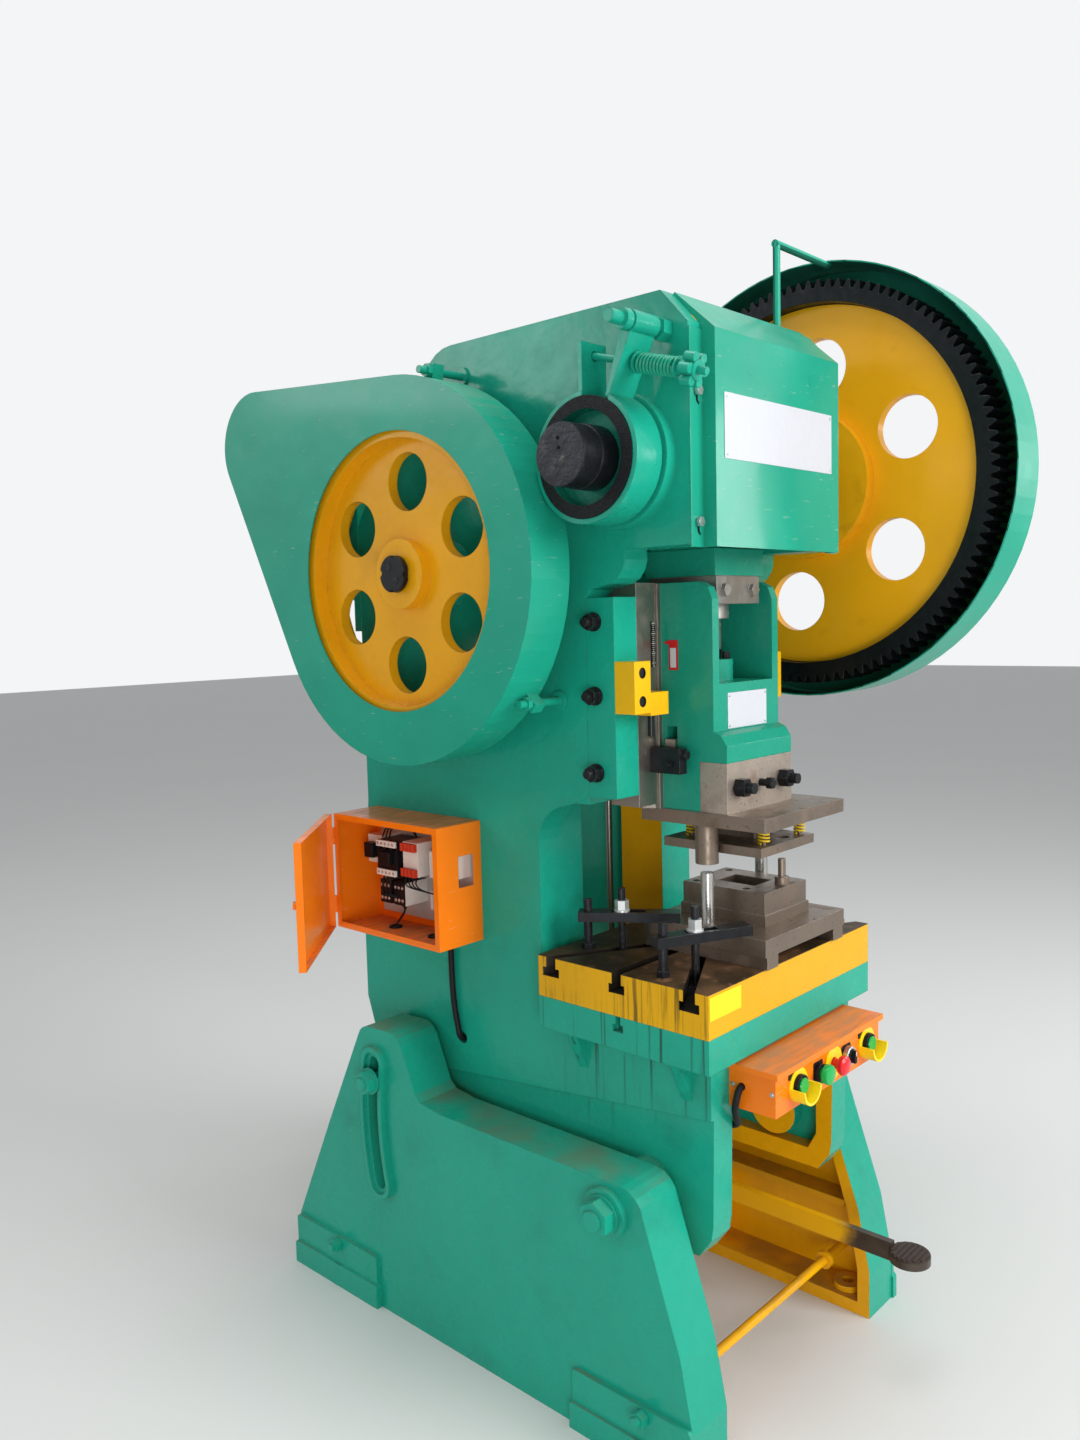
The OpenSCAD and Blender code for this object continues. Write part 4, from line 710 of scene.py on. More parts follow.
def thread(bm, start, direction, length, radius, pitch, depth=None, sides=20):
    """A stretch of screw thread as a closed rod whose radius follows the helix."""
    depth = depth or pitch * 0.5
    side, other, along = axes_along(direction)
    start = Vector(start)
    steps = max(4, round(length / pitch * 4))
    rings = []
    for k in range(steps + 1):
        distance = length * k / steps
        ring = []
        for i, turn in enumerate(turns(sides)):
            phase = (distance / pitch - i / sides) % 1
            reach = radius - depth * abs(2 * phase - 1)
            ring.append(bm.verts.new(start + along * distance
                                     + (side * math.cos(turn) + other * math.sin(turn)) * reach))
        rings.append(ring)
    skin(bm, rings)


def smooth_path(points, steps=6):
    """A Catmull-Rom curve through points."""
    points = [Vector(p) for p in points]
    ends = [points[0] * 2 - points[1]] + points + [points[-1] * 2 - points[-2]]
    path = []
    for a, b, c, d in zip(ends, ends[1:], ends[2:], ends[3:]):
        for i in range(steps):
            t = i / steps
            path.append(0.5 * (b * 2 + (c - a) * t + (a * 2 - b * 5 + c * 4 - d) * t * t
                               + (b * 3 - a - c * 3 + d) * t ** 3))
    return path + [points[-1]]


def tube(bm, path, radius, sides=12):
    """A round tube along a path, closed at both ends."""
    path = [Vector(p) for p in path]
    rings = []
    side = None
    for i, point in enumerate(path):
        along = (path[min(i + 1, len(path) - 1)] - path[max(i - 1, 0)]).normalized()
        side = along.orthogonal() if side is None else side - along * side.dot(along)
        side = side.normalized()
        rings.append(circle(bm, point, side, along.cross(side), radius, sides))
    skin(bm, rings)


def keep(name, bm, finish, body="frame", bevel=0.0, smooth=True, replaces=()):
    """Turns a bmesh into a finished piece that rides on a body."""
    bmesh.ops.recalc_face_normals(bm, faces=bm.faces)
    mesh = bpy.data.meshes.new(name)
    bm.to_mesh(mesh)
    bm.free()
    made = bpy.data.objects.new(name, mesh)
    bpy.context.scene.collection.objects.link(made)
    return finished(made, finish, body, bevel, smooth, replaces)


def finished(made, finish, body, bevel=0.0, smooth=True, replaces=()):
    """Gives a mesh object its finish, softened edges and body."""
    made.data.materials.clear()
    made.data.materials.append(FINISHES[finish])
    if bevel:
        soften = made.modifiers.new("soften", "BEVEL")
        soften.width = bevel
        soften.segments = 2
        soften.limit_method = "ANGLE"
    if smooth:
        made.data.shade_smooth()
        made.data.set_sharp_from_angle(angle=math.radians(38))
    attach(made, body)
    if replaces:
        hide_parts(*replaces)
    return made


# Geometry Nodes trees for what repeats


class Growth(Graph):
    """A Geometry Nodes tree that puts one shape on each point of a mesh."""

    def __init__(self, name, sizes):
        super().__init__(bpy.data.node_groups.new(name, "GeometryNodeTree"))
        sockets = self.tree.interface
        sockets.new_socket("Geometry", in_out="INPUT", socket_type="NodeSocketGeometry")
        for label, value in sizes.items():
            made = sockets.new_socket(label, in_out="INPUT", socket_type="NodeSocketFloat")
            made.default_value = value
        sockets.new_socket("Finish", in_out="INPUT", socket_type="NodeSocketMaterial")
        sockets.new_socket("Geometry", in_out="OUTPUT", socket_type="NodeSocketGeometry")
        self.entry = self.node("NodeGroupInput")
        self.exit = self.node("NodeGroupOutput")

    def size(self, label):
        return Value(self, self.entry.outputs[label])

    def close(self, shape, turn=(0, 0, 0)):
        """Puts the shape on the points, turned, and ends the tree."""
        placed = self.node("GeometryNodeInstanceOnPoints", Points=self.entry.outputs["Geometry"],
                           Instance=shape, Rotation=turn)
        real = self.node("GeometryNodeRealizeInstances", Geometry=placed.outputs[0])
        painted = self.node("GeometryNodeSetMaterial", Geometry=real.outputs[0],
                            Material=self.entry.outputs["Finish"])
        self.tree.links.new(painted.outputs[0], self.exit.inputs[0])
        return self

    def grow(self, name, points, finish, body="frame", smooth=True, replaces=(), **sizes):
        """Runs the tree on points and keeps the result as a plain mesh."""
        seed = bpy.data.meshes.new(name + "_points")
        seed.from_pydata([tuple(p) for p in points], [], [])
        made = bpy.data.objects.new(name, seed)
        bpy.context.scene.collection.objects.link(made)
        modifier = made.modifiers.new("grow", "NODES")
        modifier.node_group = self.tree
        for item in self.tree.interface.items_tree:
            if item.in_out == "INPUT" and item.name.lower() in sizes:
                modifier[item.identifier] = sizes[item.name.lower()]
            if item.name == "Finish":
                modifier[item.identifier] = FINISHES[finish]
        graph = bpy.context.evaluated_depsgraph_get()
        mesh = bpy.data.meshes.new_from_object(made.evaluated_get(graph), depsgraph=graph)
        made.modifiers.remove(modifier)
        made.data = mesh
        return finished(made, finish, body, smooth=smooth, replaces=replaces)


def turn_to(direction):
    """Euler angles that turn +Z to a direction."""
    return Vector(direction).to_track_quat("Z", "Y").to_euler()


def spring_tree(direction):
    """A coil spring that starts at each point: Radius, Wire, Turns and Height."""
    g = Growth("coil_spring", {"Radius": 0.01, "Wire": 0.002, "Turns": 6.0, "Height": 0.05})
    spiral = g.node("GeometryNodeCurveSpiral", Resolution=28, Rotations=g.size("Turns"),
                    Start_Radius=g.size("Radius"), End_Radius=g.size("Radius"), Height=g.size("Height"))
    ring = g.node("GeometryNodeCurvePrimitiveCircle", Resolution=10, Radius=g.size("Wire"))
    coil = g.node("GeometryNodeCurveToMesh", Curve=spiral.outputs[0], Profile_Curve=ring.outputs[0],
                  Fill_Caps=True)
    return g.close(coil.outputs[0], turn_to(direction))


def screw_tree(direction, sides=24):
    """A round screw head with a washer, standing on each point: Radius and Height."""
    g = Growth("pan_screw", {"Radius": 0.004, "Height": 0.003})
    washer = g.node("GeometryNodeMeshCylinder", Vertices=sides, Radius=g.size("Radius") * 1.5,
                    Depth=g.size("Height") * 0.6)
    head = g.node("GeometryNodeMeshCone", Vertices=sides, Radius_Top=g.size("Radius") * 0.72,
                  Radius_Bottom=g.size("Radius"), Depth=g.size("Height"))
    cut = g.node("GeometryNodeMeshCylinder", Vertices=6, Radius=g.size("Radius") * 0.42,
                 Depth=g.size("Height") * 0.5)
    lift = g.node("ShaderNodeCombineXYZ", Z=g.size("Height") * 1.02)
    raised = g.node("GeometryNodeTransform", Geometry=cut.outputs[0], Translation=lift.outputs[0])
    joined = g.node("GeometryNodeJoinGeometry")
    for part in (washer, head, raised):
        g.tree.links.new(part.outputs[0], joined.inputs[0])
    return g.close(joined.outputs[0], turn_to(direction))


def brick_tree(name):
    """A small block standing on each point: Width, Depth and Height."""
    g = Growth(name, {"Width": 0.002, "Depth": 0.001, "Height": 0.001})
    size = g.node("ShaderNodeCombineXYZ", X=g.size("Width"), Y=g.size("Depth"), Z=g.size("Height"))
    return g.close(g.node("GeometryNodeMeshCube", Size=size.outputs[0]).outputs[0])


# Operators


class PRESS_OT_finishes(bpy.types.Operator):
    """Makes the finishes and gives each CAD node its own."""
    bl_idname = "press.finishes"
    bl_label = "Finishes"

    def execute(self, context):
        FINISHES.update(make_finishes())
        for name, node in NODES.items():
            node.data.materials.clear()
            node.data.materials.append(FINISHES[FINISH_OF[name]])
        return {"FINISHED"}


STUD_AT = Vector((-0.342, -0.084, 2.079))
STUD_ALONG = Vector((0, -math.cos(math.radians(15)), -math.sin(math.radians(15))))
SPRING_X = (-0.030, 0.112)
SPRING_Y = (-0.158, 0.020)


class PRESS_OT_springs(bpy.types.Operator):
    """Winds the brake spring and the four springs over the stripper."""
    bl_idname = "press.springs"
    bl_label = "Springs"

    def execute(self, context):
        start = STUD_AT + STUD_ALONG * 0.0195
        spring_tree(STUD_ALONG).grow("brake_coil", [start], "spring_green", replaces=["brake_spring"],
                                     radius=0.0155, wire=0.0031, turns=10.5, height=0.083)
        low, high = (corner.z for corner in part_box("stripper_springs"))
        wire = 0.0024
        points = [(x, y, low + wire) for x in SPRING_X for y in SPRING_Y]
        coils = spring_tree(UP).grow("stripper_coils", points, "spring_yellow", BODY_OF["stripper_springs"],
                                     replaces=["stripper_springs"], radius=0.0105, wire=wire, turns=5.5,
                                     height=high - low - 2 * wire)
        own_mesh(coils)
        return {"FINISHED"}


class PRESS_OT_threads(bpy.types.Operator):
    """Cuts the threads that show on studs, T-bolts, heel screws and the die-height screw."""
    bl_idname = "press.threads"
    bl_label = "Threads"

    def execute(self, context):
        bm = bmesh.new()
        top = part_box("clamp_bolts")[1].z
        strap_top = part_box("strap_clamps")[1].z
        strap_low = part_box("strap_clamps")[0].z
        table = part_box("bolster")[1].z
        for x, y, turn in CLAMPS:
            thread(bm, (x, y, strap_top + 0.0245), UP, top - strap_top - 0.025, 0.0083, 0.002)
            thread(bm, (x, y, table + 0.004), UP, strap_low - table - 0.006, 0.0083, 0.002)
            angle = math.radians(turn)
            heel = (x - 0.072 * math.cos(angle), y - 0.072 * math.sin(angle))
            thread(bm, (*heel, table + 0.0125), UP, strap_low - table - 0.013, 0.0093, 0.0025)
            thread(bm, (*heel, strap_top + 0.0005), UP, 0.0252, 0.0093, 0.0025)
        keep("clamp_threads", bm, "black")
        bm = bmesh.new()
        for low, high in ((0.1505, 0.1675), (-0.1215, -0.1185)):
            thread(bm, STUD_AT + STUD_ALONG * low, STUD_ALONG, high - low, 0.0073, 0.002)
        keep("stud_threads", bm, "green")
        bm = bmesh.new()
        low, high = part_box("gib_bolts")
        for side in (-1, 1):
            for z in (1.307, 1.462, 1.610):
                thread(bm, (side * (high.x - 0.012), 0.078, z), (side, 0, 0), 0.0118, 0.0093, 0.002)
        keep("gib_bolt_threads", bm, "black")
        bm = bmesh.new()
        ball = 1.500
        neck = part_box("conrod")[0].z - 0.0105
        thread(bm, (0, 0, ball + 0.047), UP, neck - ball - 0.047, 0.0347, 0.005, 0.0016, 40)
        keep("die_height_thread", bm, "ground", BODY_OF["adjusting_screw"])
        return {"FINISHED"}


def bare_plate(name, finish, low, high, body, rivets="zinc", inset=0.006):
    """A blank plate facing -Y, from (x, z) to (x, z, y of the face behind it), with rivets in its corners."""
    (x0, z0), (x1, z1), y = low, high[:2], high[2]
    bm = bmesh.new()
    block(bm, (x0, y - 0.0012, z0), (x1, y, z1))
    keep(name, bm, finish, body, bevel=0.0004)
    if rivets:
        points = [(x, y - 0.0014, z) for x in (x0 + inset, x1 - inset) for z in (z0 + inset, z1 - inset)]
        screw_tree(FRONT, 12).grow(name + "_rivets", points, rivets, body, radius=0.0018, height=0.0014)


class PRESS_OT_plates(bpy.types.Operator):
    """Fixes the bare plates where the maker's and warning plates go."""
    bl_idname = "press.plates"
    bl_label = "Bare plates"

    def execute(self, context):
        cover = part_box("head_cover")[0].y
        bare_plate("cover_plate", "plate", (-0.203, 1.907), (0.199, 2.028, cover), "frame", inset=0.008)
        ram_face = -0.102
        bare_plate("ram_plate", "plate", (-0.072, 1.387), (0.074, 1.460, ram_face), "ram")
        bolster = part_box("bolster")[0].y
        bare_plate("bolster_plate", "plate_yellow", (-0.312, 0.868), (-0.206, 0.913, bolster), "frame", None)
        return {"FINISHED"}


class PRESS_OT_scale(bpy.types.Operator):
    """Fixes the die-height scale on the gib strip and its red pointer on the ram."""
    bl_idname = "press.scale"
    bl_label = "Scale and pointer"

    def execute(self, context):
        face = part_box("gib_strips")[0].y
        bm = bmesh.new()
        block(bm, (-0.153, face - 0.0015, 1.515), (-0.139, face, 1.607))
        keep("height_scale", bm, "black_plastic", bevel=0.0003)
        ticks = [(-0.146, face - 0.0017, 1.519 + 0.004 * i) for i in range(22)]
        brick_tree("scale_tick").grow("height_scale_ticks", ticks, "white_plastic", smooth=False,
                                      width=0.006, depth=0.0006, height=0.0009)
        brick_tree("scale_long_tick").grow("height_scale_long_ticks", ticks[1::5], "white_plastic",
                                           smooth=False, width=0.0108, depth=0.0008, height=0.0013)
        ends = [(-0.146, face - 0.0024, z) for z in (1.5165, 1.6055)]
        screw_tree(FRONT, 12).grow("scale_screws", ends, "zinc", radius=0.0018, height=0.0012)
        bm = bmesh.new()
        side = -0.1232
        outline = [(-0.018, 1.508), (0.004, 1.508), (0.004, 1.560), (0.018, 1.563), (0.0045, 1.569),
                   (-0.018, 1.569)]
        prism(bm, [(-y, z) for y, z in outline], (side, 0, 0), FRONT, UP, 0.0015)
        keep("height_pointer", bm, "lacquer_red", "ram", bevel=0.0003)
        bm = bmesh.new()
        block(bm, (side - 0.0022, -0.014, 1.513), (side - 0.0013, 0.0, 1.553))
        keep("pointer_label", bm, "plate", "ram", bevel=0.0002)
        return {"FINISHED"}


BUTTONS = {"left_button": -0.129, "start_button": -0.051, "stop_button": 0.009, "selector": 0.064,
           "right_button": 0.152}
BUTTON_Z = 0.711


class PRESS_OT_switches(bpy.types.Operator):
    """Models the push buttons, their bezels and the plates behind them."""
    bl_idname = "press.switches"
    bl_label = "Switches"

    def execute(self, context):
        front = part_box("control_box")[0].y
        bm = bmesh.new()
        for x, half_w, low in ((BUTTONS["start_button"], 0.015, 0.026), (BUTTONS["selector"], 0.016, 0.026)):
            holed_plate(bm, (x, front - 0.0015, BUTTON_Z - 0.004), half_w + 0.003, low, 0.0118, 0.0015)
        keep("switch_plates", bm, "black_plastic", bevel=0.0003)
        bm = bmesh.new()
        for x in (BUTTONS["left_button"] - 0.020, BUTTONS["right_button"] - 0.020):
            block(bm, (x - 0.015, front - 0.0012, BUTTON_Z + 0.017), (x + 0.013, front, BUTTON_Z + 0.033))
        keep("label_plates", bm, "black_plastic", bevel=0.0003)
        bm = bmesh.new()
        for name, inner, outer, height in (("left_button", 0.0166, 0.021, 0.0125),
                                           ("right_button", 0.0166, 0.021, 0.0125),
                                           ("start_button", 0.0118, 0.018, 0.0105)):
            tube_ring(bm, (BUTTONS[name], front - height, BUTTON_Z), REAR, inner, outer, height - 0.002)
        keep("button_bezels", bm, "black_plastic", bevel=0.0012)
        bm = bmesh.new()
        tube_ring(bm, (BUTTONS["selector"], front - 0.0145, BUTTON_Z), REAR, 0.0142, 0.0195, 0.013)
        keep("selector_bezel", bm, "zinc", bevel=0.0015)
        flat = [(0, 0.0105), (0.0298, 0.0105), (0.0302, 0.0155), (0.0325, 0.016), (0.0345, 0.0148),
                (0.0342, 0.0105), (0.0335, 0)]
        round_cap = [(0, 0.0105), (0.034, 0.0105), (0.036, 0.0195), (0.0445, 0.020), (0.0475, 0.0185),
                     (0.0495, 0.013), (0.0503, 0.006), (0.0505, 0)]
        mushroom = [(0, 0.0105), (0.034, 0.0105), (0.0355, 0.0175), (0.041, 0.0203), (0.0465, 0.0198),
                    (0.0505, 0.0155), (0.0525, 0.009), (0.053, 0)]
        dial = [(0, 0.0105), (0.021, 0.0105), (0.0215, 0.0138), (0.033, 0.0135), (0.034, 0.0125), (0.034, 0)]
        start = front + 0.018
        for name, profile, finish in (("left_button", flat, "button_green"),
                                      ("right_button", flat, "button_green"),
                                      ("start_button", round_cap, "button_green"),
                                      ("stop_button", mushroom, "button_red")):
            bm = bmesh.new()
            lathe(bm, (BUTTONS[name], start, BUTTON_Z), FRONT, profile, 40)
            keep(name + "_cap", bm, finish, name, replaces=[name])
        bm = bmesh.new()
        x = BUTTONS["selector"]
        lathe(bm, (x, start, BUTTON_Z), FRONT, dial, 40)
        handle = [(-0.004, -0.013), (0.004, -0.013), (0.0045, 0.0), (0.0032, 0.013), (-0.0032, 0.013),
                  (-0.0045, 0.0)]
        prism(bm, handle, (x, front - 0.0155, BUTTON_Z), RIGHT, UP, 0.0085)
        keep("selector_knob", bm, "black_plastic", "selector", bevel=0.0008, replaces=["selector"])
        bm = bmesh.new()
        block(bm, (x - 0.0008, front - 0.0245, BUTTON_Z + 0.002),
              (x + 0.0008, front - 0.0238, BUTTON_Z + 0.012))
        keep("selector_mark", bm, "white_plastic", "selector")
        return {"FINISHED"}


CABLE_MM = [(-300, 505, 965), (-300, 506, 953), (-296, 511, 937), (-287, 517, 922), (-281.5, 520, 910),
            (-281.5, 520, 896), (-281.5, 520, 860), (-281.5, 519, 800), (-281.5, 516, 750),
            (-281.5, 510, 712), (-281.5, 504, 688), (-281.5, 501, 673), (-278, 500, 663.5),
            (-272, 500, 659.5), (-262, 500, 658), (-232, 500, 658), (-216, 496, 655), (-203, 484, 648),
            (-191, 462, 638), (-189, 430, 630), (-189, 365, 622), (-189, 240, 616), (-189, 100, 612),
            (-189, -60, 611), (-189, -150, 614), (-190, -184, 621), (-194, -196, 630), (-205, -201, 642),
            (-221, -207, 664), (-228, -213, 682), (-227, -216, 698), (-220, -216, 709),
            (-211.5, -216, 713), (-198, -216, 713)]


class PRESS_OT_cables(bpy.types.Operator):
    """Lays the cable between the cabinet and the control box."""
    bl_idname = "press.cables"
    bl_label = "Cables"

    def execute(self, context):
        bm = bmesh.new()
        tube(bm, smooth_path([Vector(point) / 1000 for point in CABLE_MM], 3), 0.0068, 16)
        keep("box_cable", bm, "rubber", replaces=["control_cable"])
        return {"FINISHED"}


class PRESS_OT_cabinet(bpy.types.Operator):
    """Fills in the switch gear with its terminals and wires, and the grommets in the cabinet's floor."""
    bl_idname = "press.cabinet"
    bl_label = "Cabinet"

    def execute(self, context):
        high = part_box("cabinet_fittings")[1]
        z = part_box("cabinet")[0].z
        back = high.x - 0.002
        white = brick_tree("terminal_strip")
        strips = [(back - 0.0825, 0.645, z + 0.206), (back - 0.0825, 0.645, z + 0.139)]
        white.grow("contactor_terminals", strips, "white_plastic", smooth=False,
                   width=0.006, depth=0.066, height=0.014)
        screws = [(back - 0.0858, 0.619 + 0.013 * i, z + h) for h in (0.206, 0.139) for i in range(5)]
        screw_tree(LEFT, 10).grow("contactor_screws", screws, "zinc", radius=0.0024, height=0.0012)
        relay = [(back - 0.079, 0.5525 + 0.0125 * i, z + h) for h in (0.147, 0.205) for i in range(4)]
        white.grow("relay_levers", relay, "red_plastic", smooth=False, width=0.010, depth=0.0095,
                   height=0.018)
        block_screws = [(back - 0.0705, y + dy, z + h) for y in (0.600, 0.648) for dy in (0.008, 0.020, 0.032)
                        for h in (0.074, 0.104)]
        screw_tree(LEFT, 10).grow("block_screws", block_screws, "zinc", radius=0.003, height=0.0014)
        bm = bmesh.new()
        block(bm, (back - 0.092, 0.626, z + 0.158), (back - 0.0815, 0.664, z + 0.188))
        block(bm, (back - 0.080, 0.700, z + 0.165), (back - 0.0605, 0.730, z + 0.200))
        keep("contactor_nose", bm, "black_plastic", bevel=0.0012)
        bm = bmesh.new()
        front = back - 0.082
        routes = []
        for i in range(3):
            y = 0.628 + 0.013 * i
            routes.append((0.0019, [(front - 0.002, y, 0.130), (front - 0.008, y - 0.002, 0.112),
                                    (front + 0.004, y + 0.010, 0.088),
                                    (back - 0.058, 0.612 + 0.02 * i, 0.070), (back - 0.045, 0.63, 0.045),
                                    (back - 0.056, 0.655, 0.004)]))
        for i in range(4):
            y = 0.553 + 0.0125 * i
            routes.append((0.0016, [(back - 0.07, y, 0.136), (back - 0.075, y, 0.122),
                                    (back - 0.066, y - 0.01, 0.108),
                                    (back - 0.05, 0.500 - 0.004 * i, 0.098)]))
        for i in range(3):
            routes.append((0.0018, [(back - 0.06, 0.66 + 0.012 * i, 0.215),
                                    (back - 0.055, 0.65 + 0.01 * i, 0.238),
                                    (back - 0.04, 0.60 + 0.01 * i, 0.245), (back - 0.05, 0.575, 0.225)]))
        for radius, route in routes:
            tube(bm, smooth_path([(x, y, z + height) for x, y, height in route], 5), radius, 8)
        keep("cabinet_wires", bm, "rubber")
        bm = bmesh.new()
        for y in (0.520, 0.655):
            tube_ring(bm, (-0.330, y, z - 0.002), UP, 0.0105, 0.0155, 0.008)
        keep("cabinet_grommets", bm, "rubber", bevel=0.001)
        return {"FINISHED"}


class PRESS_OT_drive(bpy.types.Operator):
    """Adds the flywheel's slotted nut, dark discs of painted shade for two small recesses in the crankshaft's
    end, and the motor's fan grille.
    """
    bl_idname = "press.drive"
    bl_label = "Drive details"

    def execute(self, context):
        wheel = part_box("flywheel")
        middle = (wheel[0] + wheel[1]) / 2
        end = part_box("drive_shaft")[0].x
        bm = bmesh.new()
        outline = []
        for i, turn in enumerate(turns(48)):
            reach = 0.034 if i % 12 in (0, 1) else 0.040
            outline.append((reach * math.cos(turn), reach * math.sin(turn)))
        prism(bm, outline, (end + 0.0105, middle.y, middle.z), REAR, UP, -0.0125)
        keep("hub_nut", bm, "black", "drive_shaft", bevel=0.0008)
        points = [(end - 0.0022, middle.y + 0.018 * math.cos(a), middle.z + 0.018 * math.sin(a))
                  for a in (0.9, 4.04)]
        screw_tree(LEFT, 16).grow("hub_screws", points, "black", "drive_shaft", radius=0.005, height=0.003)
        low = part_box("crankshaft")[0].x
        # Two thin dark discs on the crankshaft's end are painted shade for its small recesses
        bm = bmesh.new()
        for dy, dz in ((0.005, 0.030), (0.003, 0.012)):
            lathe(bm, (low + 0.0005, dy, CRANK_Z + dz), LEFT, [(0, 0.0035), (0.0012, 0.0035)], 16)
        keep("crank_recess_shades", bm, "painted_hole_shade", "crankshaft")
        centre = (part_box("motor")[1].x - 0.0015, 0.985, 2.045)
        bm = bmesh.new()
        for i in range(5):
            tube_ring(bm, centre, RIGHT, 0.022 + 0.017 * i, 0.026 + 0.017 * i, 0.0014)
        for turn in turns(8):
            out = Vector((0, math.cos(turn), math.sin(turn)))
            across = Vector((0, -math.sin(turn), math.cos(turn)))
            spoke = [(0.022, -0.002), (0.098, -0.002), (0.098, 0.002), (0.022, 0.002)]
            prism(bm, spoke, centre, out, across, 0.0012)
        keep("fan_grille", bm, "motor")
        return {"FINISHED"}


class PRESS_OT_fasteners(bpy.types.Operator):
    """Adds the screws of the control box and the die, and dark painted shade where the slots of the cover's
    hooks are.
    """
    bl_idname = "press.fasteners"
    bl_label = "Small screws"

    def execute(self, context):
        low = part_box("control_box")[0]
        ends = [(low.x - 0.0008, y, 0.714) for y in (-0.196, -0.283)]
        screw_tree(LEFT, 16).grow("box_end_screws", ends, "zinc", radius=0.0032, height=0.0018)
        socket_head = [(0, 0.0075), (0.0085, 0.0075), (0.0095, 0.0066), (0.0095, 0.0038), (0.005, 0.0038),
                       (0.005, 0)]
        bm = bmesh.new()
        for x in (-0.021, 0.104):
            for y in (-0.110, 0.016):
                lathe(bm, (x, y, 1.0375), UP, socket_head, 24)
        keep("die_cap_screws", bm, "black")
        # Thin dark pieces on the cover are painted shade for the slots of its hooks
        slot = [(-0.003, -0.004), (0.003, -0.004), (0.003, -0.016), (0.008, -0.022), (0.0045, -0.025),
                (-0.003, -0.018)]
        bm = bmesh.new()
        for x in (-0.250, 0.250):
            for z in (2.028, 1.790):
                prism(bm, slot, (x, -0.1601, z), RIGHT, UP, 0.0004)
        keep("cover_hook_slot_shades", bm, "painted_hole_shade")
        return {"FINISHED"}


class PRESS_OT_pedal_pad(bpy.types.Operator):
    """Lays the ribbed pad on the pedal's round tread."""
    bl_idname = "press.pedal_pad"
    bl_label = "Pedal pad"

    def execute(self, context):
        x, y, top = 0.150, -0.390, 0.282
        bm = bmesh.new()
        lathe(bm, (x, y, top - 0.001), UP, [(0, 0.0415), (0.003, 0.0415), (0.0038, 0.0405)], 48)
        for i in range(-3, 4):
            rib_y = y + 0.011 * i
            half = math.sqrt(0.038 ** 2 - (0.011 * i) ** 2)
            block(bm, (x - half, rib_y - 0.003, top + 0.0026), (x + half, rib_y + 0.003, top + 0.0046))
        keep("pedal_pad", bm, "tread", "pedal", bevel=0.0006)
        return {"FINISHED"}


class PRESS_OT_stage(bpy.types.Operator):
    """Sets up the floor, the lamps, the world and the camera."""
    bl_idname = "press.stage"
    bl_label = "Stage"

    def execute(self, context):
        self.floor()
        self.world()
        self.lamps()
        self.camera()
        return {"FINISHED"}

    def floor(self):
        f = Finish("floor_pale", "#d9dad8", 0.6)
        f.put("Base Color", f.shade(linear("#d9dad8"), f.noise(0.9, 3) * 0.04 + 0.98))
        bm = bmesh.new()
        bmesh.ops.create_grid(bm, x_segments=1, y_segments=1, size=30)
        mesh = bpy.data.meshes.new("floor")
        bm.to_mesh(mesh)
        bm.free()
        mesh.materials.append(f.material)
        floor = bpy.data.objects.new("floor", mesh)
        bpy.context.scene.collection.objects.link(floor)

    def world(self):
        stage = settings("stage")
        world = bpy.data.worlds.new("studio")
        world.use_nodes = True
        bpy.context.scene.world = world
        g = Graph(world.node_tree)
        soft = world.node_tree.nodes["Background"]
        soft.inputs["Color"].default_value = linear("#eef1f4")
        soft.inputs["Strength"].default_value = stage.world_level
        bright = g.node("ShaderNodeBackground", Color=linear("#f4f5f6"), Strength=1.0)
        path = g.node("ShaderNodeLightPath")
        seen = Value(g, path.outputs["Is Camera Ray"])
        for ray in ("Is Glossy Ray", "Is Transmission Ray"):
            seen = seen.larger(Value(g, path.outputs[ray]))
        mixed = g.node("ShaderNodeMixShader", Fac=seen)
        g.tree.links.new(soft.outputs[0], mixed.inputs[1])
        g.tree.links.new(bright.outputs[0], mixed.inputs[2])
        g.tree.links.new(mixed.outputs[0], world.node_tree.nodes["World Output"].inputs["Surface"])

    def lamps(self):
        stage = settings("stage")
        aim = Vector((0, 0.1, 1.2))
        for name, place, width, height, level in (
                ("front_softbox", (1.2, -5.2, 3.6), 3.2, 3.2, stage.key_level),
                ("window_softbox", (-5.0, 5.2, 3.7), 2.8, 0.9, stage.window_level),
                ("side_softbox", (3.6, -2.5, 2.3), 0.9, 0.9, stage.side_level),
                ("low_softbox", (-3.2, -3.0, 0.9), 1.6, 1.6, stage.low_level),
                ("roof_softbox", (-0.6, 0.2, 5.6), 3.0, 3.0, stage.roof_level)):
            lamp = bpy.data.lights.new(name, "AREA")
            lamp.shape = "RECTANGLE"
            lamp.size = width
            lamp.size_y = height
            lamp.energy = level
            holder = bpy.data.objects.new(name, lamp)
            holder.location = place
            holder.rotation_euler = (aim - Vector(place)).to_track_quat("-Z", "Y").to_euler()
            bpy.context.scene.collection.objects.link(holder)

    def camera(self):
        stage = settings("stage")
        yaw = stage.yaw
        pitch = stage.pitch
        roll = stage.roll
        forward = Vector((math.sin(yaw) * math.cos(pitch), math.cos(yaw) * math.cos(pitch), -math.sin(pitch)))
        right = forward.cross(Vector((0, 0, 1))).normalized()
        up = right.cross(forward)
        turned_right = right * math.cos(roll) + up * math.sin(roll)
        turned_up = up * math.cos(roll) - right * math.sin(roll)
        turn = Matrix((turned_right, turned_up, -forward)).transposed().to_4x4()
        lens = bpy.data.cameras.new("camera")
        lens.sensor_fit = "VERTICAL"
        lens.sensor_height = 36
        lens.lens = stage.lens
        camera = bpy.data.objects.new("camera", lens)
        camera.matrix_world = Matrix.Translation(stage.eye) @ turn
        bpy.context.scene.collection.objects.link(camera)
        bpy.context.scene.camera = camera
        bpy.context.scene.view_settings.view_transform = "Standard"


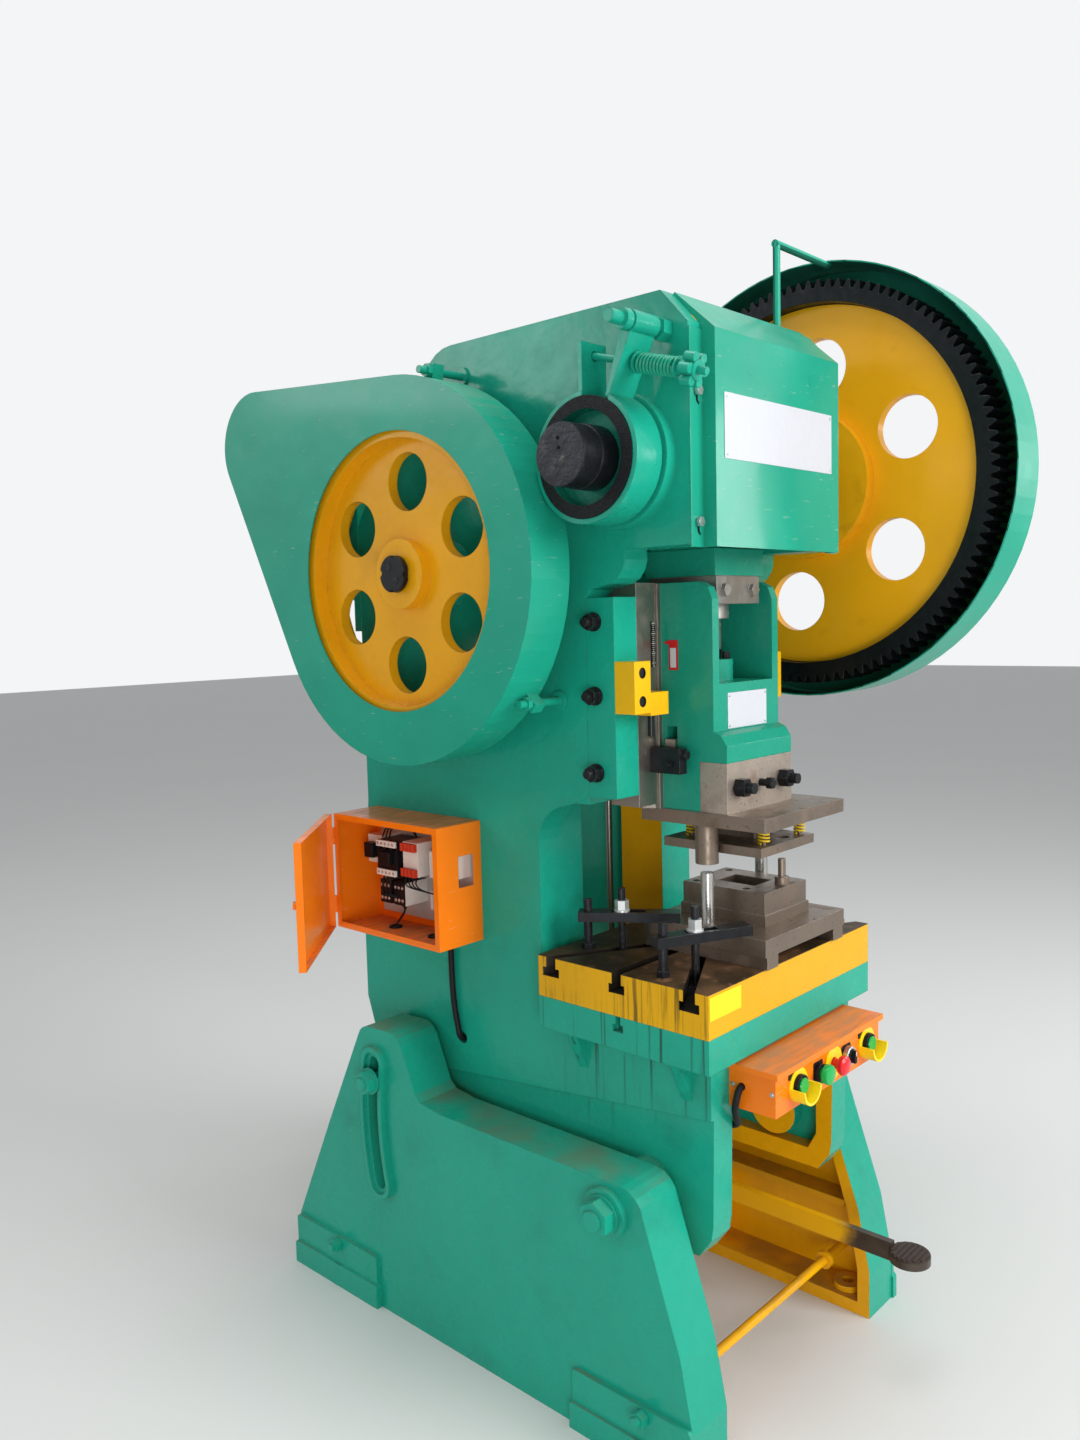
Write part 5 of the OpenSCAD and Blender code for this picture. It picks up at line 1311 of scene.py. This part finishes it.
STEPS = (PRESS_OT_stage, PRESS_OT_finishes, PRESS_OT_cables, PRESS_OT_springs, PRESS_OT_threads,
         PRESS_OT_plates, PRESS_OT_scale, PRESS_OT_switches, PRESS_OT_cabinet, PRESS_OT_drive,
         PRESS_OT_fasteners, PRESS_OT_pedal_pad)


class PressFinishes(bpy.types.PropertyGroup):
    enamel: StringProperty(name="Enamel", description="Green of the castings", default="#189a81")
    yellow: StringProperty(name="Yellow", description="Yellow of inner faces and bars", default="#e6a80c")
    orange: StringProperty(name="Orange", description="Orange of the two boxes", default="#f2790f")
    coat: FloatProperty(name="Gloss", description="Weight of the enamel's clear gloss", default=0.14, min=0,
                        max=1, subtype="FACTOR", unit="NONE")
    wear: FloatProperty(name="Wear", description="How strongly worn edges show", default=0.6, min=0, max=1,
                        subtype="FACTOR", unit="NONE")


class PressStage(bpy.types.PropertyGroup):
    eye: FloatVectorProperty(name="Eye", description="Where the camera stands",
                             default=(-2.0197, -1.3852, 1.6182), subtype="TRANSLATION", unit="LENGTH")
    yaw: FloatProperty(name="Yaw", description="Camera's turn from +Y to +X", default=math.radians(47.24),
                       subtype="ANGLE", unit="ROTATION")
    pitch: FloatProperty(name="Pitch", description="Camera's tilt downwards", default=math.radians(5.05),
                         subtype="ANGLE", unit="ROTATION")
    roll: FloatProperty(name="Roll", description="Camera's roll", default=math.radians(-1.47),
                        subtype="ANGLE", unit="ROTATION")
    lens: FloatProperty(name="Lens", description="Focal length for a frame 36 mm high", default=28.51,
                        subtype="DISTANCE_CAMERA", unit="CAMERA")
    world_level: FloatProperty(name="World", description="Strength of the even light", default=0.45, min=0,
                               unit="NONE")
    key_level: FloatProperty(name="Front lamp", description="Power of the front softbox", default=290, min=0,
                             unit="POWER")
    window_level: FloatProperty(name="Window lamp", description="Power of the softbox behind on the left",
                                default=50, min=0, unit="POWER")
    side_level: FloatProperty(name="Side lamp", description="Power of the small right softbox", default=24,
                              min=0, unit="POWER")
    low_level: FloatProperty(name="Low lamp", description="Power of the low softbox by the camera",
                             default=62, min=0, unit="POWER")
    roof_level: FloatProperty(name="Roof lamp", description="Power of the overhead softbox", default=120,
                              min=0, unit="POWER")


class PRESS_PT_panel(bpy.types.Panel):
    """Lists the steps and their settings."""
    bl_idname = "PRESS_PT_panel"
    bl_label = "Eccentric press"
    bl_space_type = "VIEW_3D"
    bl_region_type = "UI"
    bl_category = "Press"

    def draw(self, context):
        for group in (context.scene.press_finishes, context.scene.press_stage):
            for name in group.__annotations__:
                self.layout.prop(group, name)
        for step in STEPS:
            self.layout.operator(step.bl_idname)


CLASSES = (PressFinishes, PressStage, *STEPS, PRESS_PT_panel)


def register():
    for made in CLASSES:
        bpy.utils.register_class(made)
    bpy.types.Scene.press_finishes = PointerProperty(type=PressFinishes)
    bpy.types.Scene.press_stage = PointerProperty(type=PressStage)


def unregister():
    del bpy.types.Scene.press_stage
    del bpy.types.Scene.press_finishes
    for made in reversed(CLASSES):
        bpy.utils.unregister_class(made)


def main():
    register()
    for step in STEPS:
        group, name = step.bl_idname.split(".")
        getattr(getattr(bpy.ops, group), name)()
    bpy.context.view_layer.update()


if __name__ == "__main__":
    main()
